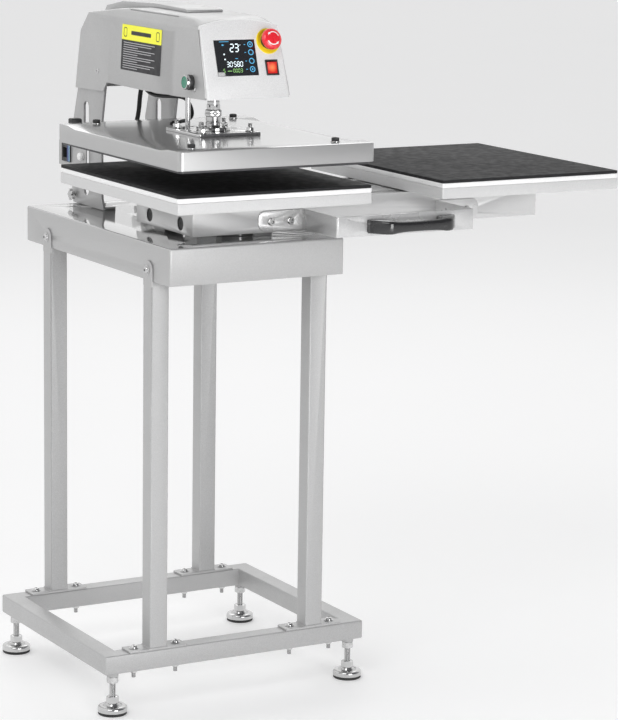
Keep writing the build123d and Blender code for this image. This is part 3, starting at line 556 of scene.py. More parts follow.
def foot_hardware():
    """Levelling feet, each a disc, a hexagon and a threaded stud over a rubber sole."""
    for node in (name.replace("leg", "foot") for name in LEGS):
        low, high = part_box(node)
        place = Matrix.Translation(((low.x + high.x) / 2, (low.y + high.y) / 2, 0))
        radius = (high.x - low.x) / 2
        sole, disc, neck, nut = 0.005, 0.017, 0.021, 0.034
        metal = bmesh.new()
        rim = [(radius - 0.0012, sole), (radius, sole + 0.001), (radius, disc - 0.005)]
        for i in range(1, 7):
            angle = math.radians(15 * i)
            rim.append((radius - 0.005 + 0.005 * math.cos(angle), disc - 0.005 + 0.0045 * math.sin(angle)))
        rim += [(radius * 0.66, disc - 0.0004), (radius * 0.62, disc - 0.0012), (0.0125, disc - 0.001)]
        rim += [(0.0115, disc + 0.0012), (0.0095, neck - 0.0008), (0.009, neck)]
        rim += nut_rings(0.0105, neck, nut, 0.4)
        stud_top = 0.0905
        rim += thread_rings(0.006, nut, stud_top, 0.00175)
        turned(metal, rim, place, 60)
        finished(node + "_metal", metal, chrome, node, "foot_metal", stands_for=[node])
        rubber_foot = bmesh.new()
        edge = radius - 0.001
        turned(rubber_foot, [(edge - 0.0014, 0), (edge, 0.0012), (edge, sole),
            (edge - 0.0004, sole + 0.0004)], place, 60)
        finished(node + "_sole", rubber_foot, rubber, node, "foot_metal")
    bm = bmesh.new()
    for box in islands("foot_lock_nuts"):
        spot = middle(box)
        turned(bm, nut_rings(0.01, box[0].z, box[1].z, 0.2), upright(spot), 60)
    finished("foot_lock_nuts_shaped", bm, nickel, "frame", "zinc", stands_for=["foot_lock_nuts"])


def legs():
    for name in LEGS:
        softened(name, 0.0007, stand_paint)


def weld_beads():
    """Rippled fillet welds round the foot of each leg."""
    bm = bmesh.new()
    for name in LEGS:
        low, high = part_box(name)
        spot = (low + high) / 2
        seat = low.z + 0.004
        side, pitch, radius = 0.0365, 0.0022, 0.0016
        squash = Matrix.Diagonal((1.1, 1.1, 0.9, 1))
        count = int(side / pitch)
        for i in range(count):
            step = -side / 2 + side * (i + 0.5) / count
            for x, y in ((step, side / 2 - 0.0006), (step, -side / 2 + 0.0006),
                (side / 2 - 0.0004, step), (-side / 2 + 0.0004, step)):
                ball = Matrix.Translation((spot.x + x, spot.y + y, seat)) @ squash
                bmesh.ops.create_icosphere(bm, subdivisions=2, radius=radius, matrix=ball)
    finished("leg_weld_beads", bm, stand_paint, "frame", "stand_paint", 60)


def inner_end(low, high, centre_x):
    """The side a piece lies on, and a placed plane on its inner end that faces that way."""
    mid = middle((low, high))
    side = 1 if mid.x > centre_x else -1
    inner = low.x if side > 0 else high.x
    return side, placed((inner, mid.y, mid.z), (side, 0, 0), (0, 1, 0))


def bolt(bm, seat, direction, grip, head=(0.0068, 0.0044), washer=(0.0088, 0.0016), socket=0.0024):
    """Button-head bolt with a washer at its seat, a shank of this grip, and a nut at its end."""
    place = placed(seat, direction, (0.3, 0.8, 0.5))
    turned(bm, washer_rings(washer[0], 0, washer[1]), place, 40)
    turned(bm, dome_rings(head[0], washer[1], washer[1] + head[1], socket), place, 48)
    if grip:
        turned(bm, nut_rings(0.0065, -grip - 0.006, -grip, 0.3), place, 48)
        turned(bm, thread_rings(0.004, -grip - 0.0155, -grip - 0.006), place, 24)


def stand_bolts():
    """Bolts through the foot plates and the base frame, and those of the four tabs."""
    centre = middle(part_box("table_top"))
    bm = bmesh.new()
    for low, high, spot in islands("stand_bolts"):
        if high.z - low.z > 0.03:
            bolt(bm, (spot.x, spot.y, high.z - 0.006), (0, 0, 1), 0.040)
        else:
            side, place = inner_end(low, high, centre.x)
            outer = high.x if side > 0 else low.x
            bolt(bm, (outer - side * 0.006, spot.y, spot.z), (side, 0, 0), 0)
            turned(bm, thread_rings(0.004, 0, 0.0035) + nut_rings(0.0065, 0.0035, 0.009), place)
    finished("stand_bolts_shaped", bm, chrome, "frame", "zinc", stands_for=["stand_bolts"])


def table():
    """Folded table top: a mirror-smooth top over satin skirts."""
    softened("table_top", 0.0006, table_coat)
    bm = bmesh.new()
    for low, high, spot in islands("table_screws"):
        place = upright(spot)
        wide = high.x - low.x > 0.012
        radius, head = (0.0068, 0.006) if wide else (0.005, 0.006)
        rings = thread_rings(radius * 0.58, low.z, high.z - head)
        rings += cap_rings(radius, high.z - head, high.z, radius * 0.45)
        turned(bm, rings, place, 60)
        nut = radius * 1.02
        turned(bm, nut_rings(nut, low.z + 0.003, low.z + 0.009), place)
    finished("table_screws_shaped", bm, nickel, "frame", "zinc", stands_for=["table_screws"])


# ---------------------------------------------------------------- carriage
def carriage():
    softened("carriage_beam", 0.0006, beam_coat)
    softened("shaft_holders", 0.0008, cast)
    softened("pull_strap", 0.0005, strap_coat)
    softened("platen_bases", 0.001, base_satin, 3)
    softened("platen_plates", 0.0004, plate_satin)
    softened("silicone_pads", 0.0004, silicone)
    bm = bmesh.new()
    centre = middle(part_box("carriage_beam"))
    for low, high, _ in islands("shaft_end_caps"):
        place = inner_end(low, high, centre.x)[1]
        r = (high.y - low.y) / 2 - 0.0001
        rings = [(r, 0), (r, 0.0018), (r * 0.9, 0.0022), (r * 0.84, 0.0012), (r * 0.3, 0.0009),
            (r * 0.26, 0.0004)]
        turned(bm, rings, place, 48)
    finished("shaft_end_caps_shaped", bm, black_matt, "carriage", "black_plastic",
        stands_for=["shaft_end_caps"])


def strap_fasteners():
    """Socket screws of the strap's tabs and of the handle."""
    tab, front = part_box("pull_strap")[1].y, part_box("pull_strap")[0].y
    bm = bmesh.new()
    for low, high, spot in islands("strap_fasteners"):
        on_tab = high.y > tab
        seat = tab - 0.003 if on_tab else front + 0.003
        toward = -1 if on_tab else 1
        place = placed((spot.x, seat, spot.z), (0, toward, 0), (0.4, 0, 1))
        turned(bm, washer_rings(0.0078, 0, 0.0008), place)
        turned(bm, cap_rings(0.0064, 0.0008, 0.0048, 0.003, 28), place, 84)
    finished("strap_fasteners_shaped", bm, chrome, "carriage", "zinc", stands_for=["strap_fasteners"])


def pull_handle():
    """Moulded bow handle: two boxed feet and a waisted grip between them."""
    low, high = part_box("pull_handle")
    mid = middle((low, high))
    half, tall = (high.x - low.x) / 2, (high.z - low.z) / 2
    bar = 0.017
    front, back = low.y, high.y
    stations = [
        (half - 0.0001, back - 0.001, back - 0.010, 0.85),
        (half, back, back - 0.012, 1.0),
        (half - 0.012, back, front + 0.016, 1.0),
        (half - 0.022, back, front + 0.003, 1.0),
        (half - 0.030, back, front, 1.0),
        (half - 0.0335, back, front, 0.99),
        (half - 0.0365, front + bar + 0.004, front, 0.97),
        (half - 0.042, front + bar, front + 0.0006, 0.90),
        (half - 0.052, front + bar, front + 0.0014, 0.82),
        (half - 0.070, front + bar, front + 0.0018, 0.77),
        (0.0, front + bar, front + 0.0018, 0.76),
    ]
    stations += [(-x, a, b, scale) for x, a, b, scale in stations[-2::-1]]
    bm = bmesh.new()
    loops = []
    for x, rear, fore, scale in stations:
        radius = min(0.006, (rear - fore) * 0.35)
        outline = rounded_rectangle(rear - fore, 2 * tall * scale, radius, 4, ((rear + fore) / 2, 0))
        loops.append([bm.verts.new((mid.x + x, y, mid.z + z)) for y, z in outline])
    for one, two in zip(loops, loops[1:]):
        bridge(bm, one, two)
    bm.faces.new(loops[0])
    bm.faces.new(loops[-1][::-1])
    finished("pull_handle_grip", bm, black_gloss, "carriage", "grip", 50, ["pull_handle"])


# ---------------------------------------------------------------- heated platen
def platen_cover():
    """Pressed cover with a sloping recess along each long side that ends in a facet."""
    low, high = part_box("platen_cover")
    centre = middle((low, high))
    half_x, half_y = (high.x - low.x) / 2, (high.y - low.y) / 2
    corner_r, inner_x, end_y, facet, dip = 0.010, 0.157, half_y - 0.044, 0.032, 0.005
    top, wall = high.z, 0.002
    bm = bmesh.new()

    def vert(x, y, z=top):
        return bm.verts.new((centre.x + x, centre.y + y, z))

    def arc(sx, sy):
        start = {(1, 1): 0, (-1, 1): 1, (-1, -1): 2, (1, -1): 3}[sx, sy]
        made = []
        for k in range(7):
            angle = TURN / 4 * (start + k / 6)
            x = sx * (half_x - corner_r) + corner_r * math.cos(angle)
            y = sy * (half_y - corner_r) + corner_r * math.sin(angle)
            made.append(vert(x, y))
        return made

    right = [vert(half_x, -end_y), vert(half_x, facet - end_y, top - dip),
        vert(half_x, end_y - facet, top - dip), vert(half_x, end_y)]
    left = [vert(-half_x, end_y), vert(-half_x, end_y - facet, top - dip),
        vert(-half_x, facet - end_y, top - dip), vert(-half_x, -end_y)]
    inner_right = [vert(inner_x, -end_y), vert(inner_x, end_y)]
    inner_left = [vert(-inner_x, end_y), vert(-inner_x, -end_y)]
    rear_right, rear_left = arc(1, 1), arc(-1, 1)
    front_left, front_right = arc(-1, -1), arc(1, -1)
    bm.faces.new(
        [right[0], *inner_right, right[3], *rear_right, *rear_left, left[0], *inner_left, left[3],
            *front_left, *front_right]
    )
    for side, inner in ((right, inner_right), (left, inner_left)):
        bm.faces.new((inner[0], side[0], side[1]))
        bm.faces.new((inner[0], side[1], side[2], inner[1]))
        bm.faces.new((inner[1], side[2], side[3]))
    ring = [*right, *rear_right, *rear_left, *left, *front_left, *front_right]
    skirt = [bm.verts.new((v.co.x, v.co.y, low.z)) for v in ring]
    inner_ring = []
    for v in skirt:
        x, y = v.co.x - centre.x, v.co.y - centre.y
        inner_ring.append(vert(x * (1 - wall / half_x), y * (1 - wall / half_y), low.z))
    ceiling = [bm.verts.new((v.co.x, v.co.y, top - dip - 2 * wall)) for v in inner_ring]
    for one, two in ((skirt, ring), (inner_ring, skirt), (ceiling, inner_ring)):
        bridge(bm, one, two)
    bm.faces.new(ceiling)
    bmesh.ops.recalc_face_normals(bm, faces=bm.faces)
    bm.normal_update()
    round_edges(bm, 0.0022, 3, lambda spot, way: spot.z > top - dip - 0.001 and abs(way.z) < 0.6)
    round_edges(bm, 0.0005, 1, lambda spot, way: spot.z < low.z + 0.0005)
    finished("platen_cover_pressed", bm, cover_metal, "press_head", "cover_sheet", 28, ["platen_cover"])


def cover_screws():
    """Black knobbed cap screws on bright washers, over the heating plate."""
    black, bright = bmesh.new(), bmesh.new()
    for low, high, spot in islands("cover_cap_screws"):
        place = upright(spot)
        seat = high.z - 0.008
        turned(bright, washer_rings(0.009, seat, seat + 0.0018), place)
        turned(bright, thread_rings(0.004, low.z, seat), place, 24)
        turned(black, cap_rings(0.0072, seat + 0.0018, high.z, 0.0032, 24), place, 96)
    finished("cover_cap_heads", black, black_matt, "press_head", "black_plastic",
        stands_for=["cover_cap_screws"])
    finished("cover_cap_washers", bright, chrome, "press_head", "thrust_chrome")


def thrust_stack():
    """Flange, barrel, knurled collar and castle nut on the chromed rod, with their screws."""
    axis = middle(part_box("thrust_rod"))
    place = upright(axis)
    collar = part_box("pressure_collar")
    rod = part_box("thrust_rod")
    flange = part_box("thrust_flange")
    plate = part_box("mounting_plate")
    softened("mounting_plate", 0.0008, chrome)
    edge_z = plate[1].z
    rings = [(0.0312, edge_z), (0.032, edge_z + 0.0008), (0.032, edge_z + 0.0048), (0.0308, edge_z + 0.006)]
    rings += [(0.017, edge_z + 0.006), (0.0152, edge_z + 0.0068), (0.0142, edge_z + 0.0085)]
    rings += [(0.0142, edge_z + 0.014), (0.0132, edge_z + 0.0148), (0.0132, edge_z + 0.0162),
        (0.0142, edge_z + 0.017)]
    rings += [(0.0142, flange[1].z - 0.0006), (0.0136, flange[1].z)]
    turned_piece("thrust_flange_turned", rings, place, 96, chrome, "press_head", "thrust_chrome",
        stands_for=["thrust_flange"])
    low, high = collar[0].z, collar[1].z
    side = knurled(0.0158, 44, 0.0006)
    rings = [(0.0145, low), (0.0156, low + 0.0008), (side, low + 0.0012), (side, low + 0.0052)]
    rings += [(0.0149, low + 0.0056), (0.0149, low + 0.0066), (side, low + 0.0070)]
    rings += [(side, high - 0.0012), (0.0154, high - 0.0008), (0.0142, high)]
    turned_piece("pressure_collar_knurled", rings, place, 176, chrome, "collar", "thrust_chrome", 40,
        ["pressure_collar"])
    nut_low, nut_top = collar[1].z + 0.0002, collar[1].z + 0.009
    octagon = TURN / 8

    def castle(angle):
        return 0.0124 / math.cos(angle % octagon - octagon / 2)

    def notched(angle):
        return nut_top if math.cos(6 * angle) > -0.55 else nut_top - 0.0042

    rings = [(0.008, flange[1].z), (0.008, nut_low), (0.0119, nut_low), (castle, nut_low + 0.0006)]
    rings += [(castle, nut_top - 0.0048), (castle, notched), (0.0114, notched)]
    rings += [(0.0112, nut_top - 0.0045), (0.0106, nut_top - 0.0045), (0.0106, nut_top + 0.0005)]
    rings += [(0.0118, nut_top + 0.001), (0.0118, nut_top + 0.006), (0.011, nut_top + 0.0066)]
    rings += [(0.011, rod[1].z - 0.001), (0.010, rod[1].z)]
    turned_piece("thrust_rod_turned", rings, place, 144, chrome, "press_head", "thrust_chrome", 30,
        ["thrust_rod"])
    bm = bmesh.new()
    for low, high, spot in islands("mounting_screws"):
        at = upright(spot)
        if high.x - low.x > 0.013:
            turned(bm, washer_rings(0.009, edge_z, edge_z + 0.0016), at)
            turned(bm, nut_rings(0.0065, edge_z + 0.0016, edge_z + 0.0081, spot.x * 40), at)
            turned(bm, thread_rings(0.004, edge_z + 0.0075, high.z), at, 24)
            turned(bm, thread_rings(0.004, low.z, edge_z), at, 24)
        else:
            base = edge_z + 0.006
            turned(bm, washer_rings(0.0062, base, base + 0.0012), at)
            turned(bm, cap_rings(0.0049, base + 0.0012, high.z, 0.0025, 24), at, 96)
    finished("mounting_screws_shaped", bm, chrome, "press_head", "zinc", stands_for=["mounting_screws"])
    softened("thermostat_cover", 0.0006, black_matt)


# ---------------------------------------------------------------- head
face_normal = -Vector(joints["stop_push"]["axis"])
side_normal = -Vector(joints["start_push"]["axis"])


def face_spot(node, out=0.0):
    """A placed plane on the fascia at the middle of a node, raised by a distance."""
    return placed(middle(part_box(node)) + face_normal * out, face_normal)


def head_shell():
    """Fascia, housing, rear cover with its pressed panel, and the raised spine."""
    fascia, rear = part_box("front_fascia"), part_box("rear_cover")
    mid_x = middle(fascia).x
    glass = middle(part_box("display_glass")) + face_normal * 0.001

    def shoulder(spot, way):
        return abs(way.y) > 0.9 and spot.z > 1.25 and abs(spot.x - mid_x) > 0.07

    def near_face(spot):
        return abs((spot - glass).dot(face_normal)) < 0.012 or spot.z < glass.z - 0.045

    def outer_sides(spot, way):
        return near_face(spot) and abs(spot.x - mid_x) > 0.074 and spot.z < rear[1].z - 0.03

    def brow(spot, way):
        return near_face(spot) and abs(way.x) > 0.8 and spot.z > rear[1].z - 0.022

    bm = cad_copy("front_fascia")
    round_edges(bm, 0.0055, 6, outer_sides)
    round_edges(bm, 0.0012, 2, brow)
    finished("front_fascia_moulded", bm, fascia_paint, "frame", "fascia", 30, ["front_fascia"])

    bm = cad_copy("front_housing")
    round_edges(bm, 0.004, 4, shoulder)
    finished("front_housing_pressed", bm, head_paint, "frame", "head_paint", 30, ["front_housing"])

    bm = cad_copy("rear_cover")
    round_edges(bm, 0.004, 4, shoulder)
    cover = finished("rear_cover_pressed", bm, head_paint, "frame", "head_paint", 30, ["rear_cover"])
    depth, panel_rear, panel_front, panel_top, panel_low = 0.0011, 0.165, -0.103, 1.2565, 1.08
    slope = 0.0016
    for side in (-1, 1):
        start = (mid_x + side * 0.3, 0.03, 1.2)
        point, normal = surface("rear_cover", start, (-side, 0, 0))
        place = placed(point, normal, (0, side, 0))
        to_local = place.inverted()
        corner_a = to_local @ Vector((point.x, panel_rear, panel_top))
        corner_b = to_local @ Vector((point.x, panel_front, panel_low))
        width, height = abs(corner_a.x - corner_b.x), corner_a.y - corner_b.y
        centre = ((corner_a.x + corner_b.x) / 2, (corner_a.y + corner_b.y) / 2)
        bm = bmesh.new()
        inner = rounded_rectangle(width - 2 * slope, height - 2 * slope, 0.009, 6, centre)
        outer = rounded_rectangle(width + 2 * slope, height + 2 * slope, 0.011, 6, centre)
        bottom = [bm.verts.new(place @ Vector((x, y, -depth))) for x, y in inner]
        top = [bm.verts.new(place @ Vector((x, y, depth))) for x, y in outer]
        bridge(bm, bottom, top)
        bm.faces.new(bottom[::-1])
        bm.faces.new(top)
        cut(cover, bm)
        slot_x, slot_rear, slot_front, slot_w = mid_x + side * 0.0705, 0.100, -0.104, 0.0030
        bm = bmesh.new()
        outline_prism(
            bm,
            rounded_rectangle(slot_w, slot_rear - slot_front, slot_w * 0.45, 4,
                (slot_x, (slot_rear + slot_front) / 2)),
            1.262, 1.31,
        )
        cut(cover, bm)
    cover.data.shade_smooth()
    cover.data.set_sharp_from_angle(angle=math.radians(30))
    softened("top_spine", 0.0012, head_paint, 3)


def screws_on_head():
    """Small countersunk screws in the head's sides."""
    bm = bmesh.new()
    mid_x = middle(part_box("rear_cover")).x
    for node, y, z in (("front_housing", -0.199, 1.155), ("rear_cover", 0.214, 1.155)):
        for side in (-1, 1):
            point, normal = surface(node, (mid_x + side * 0.3, y, z), (-side, 0, 0))
            rings = [(0.0042, -0.0002), (0.0044, 0.0006), (0.0036, 0.0016), (0.0022, 0.0022)]
            rings += [(hexagon(0.0014), 0.0023), (hexagon(0.0014), 0.0008)]
            turned(bm, rings, placed(point, normal, (0, 1, 0.4)), 36)
    finished("head_side_screws", bm, nickel, "frame", "zinc")


def side_label():
    """Plain two-colour plate with unlettered rules on the left side panel."""
    mid_x = middle(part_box("rear_cover")).x
    rear, front, low, high, split = 0.115, -0.054, 1.167, 1.2535, 1.2246
    centre = ((rear + front) / 2, (low + high) / 2)
    point, normal = surface("rear_cover", (mid_x - 0.3, centre[0], centre[1]), (1, 0, 0))
    place = placed(point - normal * 0.0011, normal, (0, -1, 0))
    width, height, band = rear - front, high - low, high - split
    thick = 0.0004
    bm = bmesh.new()
    outline_prism(bm, rounded_rectangle(width, height, 0.002), 0, thick, place)
    finished("side_label_plate", bm, label_dark, "frame", "head_paint")
    bm = bmesh.new()
    top_band = rounded_rectangle(width, band, 0.002, 6, (0, height / 2 - band / 2))
    outline_prism(bm, top_band, thick, thick + 0.00015, place)
    finished("side_label_band", bm, label_yellow, "frame", "head_paint")
    raised = (thick + 0.00015, thick + 0.0003)
    dark = bmesh.new()
    mid_y = height / 2 - band / 2
    outline_prism(dark, rounded_rectangle(width * 0.5, band * 0.26, 0.002, 4, (-0.002, mid_y)), *raised,
        place)
    for x in (-width * 0.41, width * 0.41):
        ring = rounded_rectangle(0.014, 0.018, 0.004, 4, (x, mid_y))
        hole = rounded_rectangle(0.011, 0.015, 0.003, 4, (x, mid_y))
        for i in range(len(ring)):
            j = (i + 1) % len(ring)
            quad = [ring[i], ring[j], hole[j], hole[i]]
            dark.faces.new([dark.verts.new(place @ Vector((a, b, raised[1]))) for a, b in quad])
    finished("side_label_marks", dark, label_dark, "frame", "head_paint")
    rules = bmesh.new()
    rows, first, pitch = 12, height / 2 - band - 0.005, 0.00435
    for row in range(rows):
        length = width * (0.62 + 0.26 * math.sin(2.1 * row + 0.7))
        y = first - row * pitch
        start = -width / 2 + 0.009
        bar = rounded_rectangle(length, 0.0011, 0.0005, 2, (start + length / 2, y))
        outline_prism(rules, bar, thick, thick + 0.00012, place)
    finished("side_label_rules", rules, label_rule, "frame", "head_paint")


SEGMENTS = {
    "0": "abcdef", "1": "bc", "2": "abdeg", "3": "abcdg", "5": "acdfg", "8": "abcdefg",
}


def digits(bm, text, left, base, height, place, gap=0.62):
    """Seven-segment digits from the left, sitting on a base line."""
    stroke, width, slant = height * 0.13, height * 0.5, 0.08
    ends = {
        "a": ((0, 2), (1, 2)), "b": ((1, 2), (1, 1)), "c": ((1, 1), (1, 0)), "d": ((0, 0), (1, 0)),
        "e": ((0, 1), (0, 0)), "f": ((0, 2), (0, 1)), "g": ((0, 1), (1, 1)),
    }
    for count, mark in enumerate(text):
        x0 = left + count * height * gap
        for name in SEGMENTS.get(mark, ""):
            a, b = (Vector((x0 + x * width, base + y * height / 2)) for x, y in ends[name])
            along = (b - a).normalized()
            out = Vector((-along.y, along.x)) * stroke / 2
            a, b = a + along * stroke * 0.28, b - along * stroke * 0.28
            inset = along * stroke / 2
            points = [a, a + inset + out, b - inset + out, b, b - inset - out, a + inset - out]
            points = [(p.x + (p.y - base) * slant, p.y) for p in points]
            outline_prism(bm, points[::-1], 0, 0.0001, place)


def ring_mark(bm, x, y, radius, width, place, start=0.0, sweep=TURN, steps=40):
    """A flat ring or arc drawn on a plane."""
    rows = []
    for i in range(steps + 1):
        angle = start + sweep * i / steps
        rows.append([
            bm.verts.new(place @ Vector((x + r * math.cos(angle), y + r * math.sin(angle), 0.0001)))
            for r in (radius, radius - width)
        ])
    for a, b in zip(rows, rows[1:]):
        bm.faces.new((a[0], b[0], b[1], a[1]))


def dash(bm, place, width, height, radius, steps, x, y):
    """A small flat mark with round corners, drawn on a plane."""
    outline_prism(bm, rounded_rectangle(width, height, radius, steps, (x, y)), 0, 0.0001, place)


def display():
    """Black glass with lit digits, ring keys and small marks."""
    softened("display_glass", 0.0005, screen_glass, 2)
    place = face_spot("display_glass", 0.00105)
    white = lit_ink("lit_white", (0.75, 0.86, 0.9), 0.8)
    cyan = lit_ink("lit_cyan", (0.07, 0.30, 0.50), 0.7)
    green = lit_ink("lit_green", (0.25, 0.50, 0.16), 0.6)
    bm = bmesh.new()
    digits(bm, "23", -0.0105, 0.0115, 0.0140, place, 0.70)
    digits(bm, "30", -0.0215, -0.0165, 0.0092, place, 0.72)
    digits(bm, "580", -0.0068, -0.0165, 0.0092, place, 0.72)
    bars = ((-0.024, 0.007, 0.003), (-0.0235, -0.0025, 0.003), (0.011, 0.0235, 0.0015))
    for x, y, size in bars:
        dash(bm, place, size, size * 0.8, size * 0.3, 3, x, y)
    finished("display_white_digits", bm, white, "frame", "display")
    bm = bmesh.new()
    for i, y in enumerate((0.0243, 0.0095, -0.0067, -0.0222)):
        x = 0.0322 - 0.0006 * i
        ring_mark(bm, x, y, 0.0056, 0.0017, place)
        dash(bm, place, 0.0035, 0.0012, 0.0005, 2, x - 0.0115, y)
        if i in (0, 3):
            dash(bm, place, 0.0032, 0.0032, 0.0014, 4, x, y)
    dash(bm, place, 0.0042, 0.0028, 0.0012, 3, -0.0245, 0.0243)
    dash(bm, place, 0.020, 0.0011, 0.0005, 2, -0.0210, 0.0305)
    dash(bm, place, 0.0055, 0.0013, 0.0005, 2, 0.0005, -0.0015)
    finished("display_cyan_keys", bm, cyan, "frame", "display")
    bm = bmesh.new()
    digits(bm, "5", -0.0300, -0.0272, 0.0066, place, 0.75)
    digits(bm, "0003", -0.0098, -0.0272, 0.0066, place, 0.78)
    dash(bm, place, 0.009, 0.0012, 0.0005, 2, -0.0170, -0.0245)
    finished("display_green_digits", bm, green, "frame", "display")


def stop_button():
    """Mushroom cap with turn arrows, on a yellow ring with a black collar."""
    push = Vector(joints["stop_twist"]["pos_m"])
    place = placed(push, face_normal)
    rings = [(0.0236, 0), (0.024, 0.0004), (0.024, 0.0012), (0.0235, 0.0016), (0.0205, 0.0016),
        (0.0200, 0.0013)]
    rings += [(0.0172, 0.0013), (0.0168, 0.0016), (0.0158, 0.0016)]
    turned_piece("stop_ring", rings, place, 72, stop_yellow, "frame", "stop_yellow", stands_for=["stop_base"])
    rings = [(0.011, -0.0275), (0.011, 0.0012), (0.0155, 0.0014), (0.0155, 0.0066), (0.0148, 0.0074),
        (0.0078, 0.0076), (0.0076, 0.0060)]
    turned_piece("stop_collar", rings, place, 72, black_matt, "frame", "stop_yellow")
    softened("stop_stem", 0.0004, black_matt)
    crown, edge = 0.0238, 0.0200
    dome = [(0.0172, 0.0122), (0.0186, 0.0124), (0.0196, 0.0134), (edge, 0.0148), (edge, 0.0162),
        (0.0196, 0.0178)]
    dome += [(0.0188, 0.0192), (0.0174, 0.0206), (0.0152, 0.0219), (0.0124, 0.0229), (0.0090, 0.0235),
        (0.0050, crown), (0.0015, 0.0239)]
    turned_piece("stop_mushroom_cap", [(0.006, 0.0122), *dome], place, 96, stop_red, "stop_mushroom",
        "stop_red", 45, ["stop_cap"])

    def height(radius):
        for (r1, z1), (r0, z0) in zip(dome, dome[1:]):
            if r0 <= radius <= r1:
                return z0 + (z1 - z0) * (radius - r0) / (r1 - r0)
        return crown

    bm = bmesh.new()
    for start in (0.35, 0.35 + TURN / 2):
        rows, sweep, steps = [], TURN * 0.36, 30
        for i in range(steps + 1):
            t = i / steps
            half = 0.0009 if t < 0.78 else 0.0026 * (1 - t) / 0.22
            angle = start + sweep * t
            row = []
            for k in range(5):
                radius = 0.0118 + half * (k / 2 - 1)
                spot = (radius * math.cos(angle), radius * math.sin(angle), height(radius) + 0.00015)
                row.append(bm.verts.new(place @ Vector(spot)))
            rows.append(row)
        for a, b in zip(rows, rows[1:]):
            for k in range(4):
                bm.faces.new((a[k], b[k], b[k + 1], a[k + 1]))
    finished("stop_turn_arrows", bm, mark_white, "stop_mushroom", "stop_red", 60)


def switches():
    """Lit rocker in its bezel, and the green start button in its bright ring."""
    softened("rocker_bezel", 0.0008, black_matt, 3)
    centre = middle(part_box("rocker_switch")) + face_normal * 0.002
    lit = glow("rocker_lit_red", (1.0, 0.34, 0.12), 1.0, centre, 0.010, (0.36, 0.008, 0.006))
    softened("rocker_switch", 0.0006, lit, 3)
    axis = middle(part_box("start_button"))
    beside = surface("front_housing", axis + side_normal * 0.05 + Vector((0, 0, 0.016)), -side_normal)[0]
    base = axis - side_normal * (axis - beside).dot(side_normal)
    place = placed(base, side_normal, (0, -1, 0))
    rings = [(0.011, -0.011), (0.011, 0), (0.0137, 0.0002), (0.014, 0.0008), (0.014, 0.0066),
        (0.0134, 0.0078), (0.0098, 0.0080), (0.0094, 0.004)]
    turned_piece("start_collar", rings, place, 72, black_matt, "frame", "thrust_chrome",
        stands_for=["start_bezel"])
    rings = [(0.0128, 0.008), (0.0134, 0.0086), (0.0134, 0.0136), (0.0128, 0.0148), (0.0120, 0.0152),
        (0.0112, 0.0149), (0.0111, 0.0128)]
    turned_piece("start_ring", rings, place, 72, chrome, "frame", "thrust_chrome")
    rings = [(0.0092, -0.007), (0.0092, 0.0115), (0.0109, 0.0116), (0.0109, 0.0138), (0.0104, 0.0144),
        (0.0080, 0.0143), (0.0040, 0.0141), (0.001, 0.01405)]
    turned_piece("start_button_face", rings, place, 72, start_green, "start", "start_green",
        stands_for=["start_button"])


# ---------------------------------------------------------------- arm, cables and inlet
def arm():
    for node in ("arm_plate_left", "arm_plate_right"):
        softened(node, 0.0006, plate_paint)


STAND_X = -0.2426
LEAD_RADIUS, CONDUIT_RADIUS = 0.0035, 0.0045
LEAD_ROUTE = [
    (-0.024, 0.132, 1.196), (-0.024, 0.133, 1.160), (-0.024, 0.124, 1.131), (-0.021, 0.097, 1.118),
    (-0.014, 0.065, 1.117), (-0.006, 0.034, 1.1195), (0.002, 0.004, 1.1207), (0.007, -0.0103, 1.1125),
    (0.012, -0.0149, 1.097), (0.015, -0.0086, 1.0834), (0.014, 0.014, 1.0735), (0.011, 0.038, 1.0705),
    (0.009, 0.057, 1.057),
]
CONDUIT_ROUTE = [
    (0.018, 0.208, 1.1678), (0.018, 0.209, 1.138), (0.017, 0.221, 1.105), (0.017, 0.226, 1.070),
    (0.011, 0.230, 1.038), (-0.009, 0.240, 1.009), (-0.044, 0.246, 0.999), (-0.0686, 0.246, 0.999),
]


def cable(name, route, radius, body, node):
    """A smooth cable along its route."""
    curve = bpy.data.curves.new(name, "CURVE")
    curve.dimensions = "3D"
    spline = curve.splines.new("NURBS")
    spline.points.add(len(route) - 1)
    for point, (x, y, z) in zip(spline.points, route):
        point.co = (STAND_X + x, y, z, 1)
    spline.order_u = 3
    spline.use_endpoint_u = True
    spline.resolution_u = 12
    curve.bevel_depth = radius
    curve.bevel_resolution = 6
    curve.use_fill_caps = True
    curve.materials.append(cable_sheath)
    piece = linked(name, curve)
    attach(piece, body)
    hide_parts(node)


def cables():
    cable("heater_cable", LEAD_ROUTE, LEAD_RADIUS, "press_head", "heater_lead")
    cable("power_cable", CONDUIT_ROUTE, CONDUIT_RADIUS, "frame", "rear_conduit")
    bm = bmesh.new()
    x, y, _ = LEAD_ROUTE[-1]
    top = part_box("platen_cover")[1].z
    rings = [(0.0088, top), (0.0095, top + 0.0006), (0.0092, top + 0.0024), (0.0062, top + 0.0032),
        (0.0052, top + 0.0058)]
    turned(bm, rings, Matrix.Translation((STAND_X + x, y - 0.004, 0)), 40)
    finished("lead_grommet", bm, rubber, "press_head", "cable")


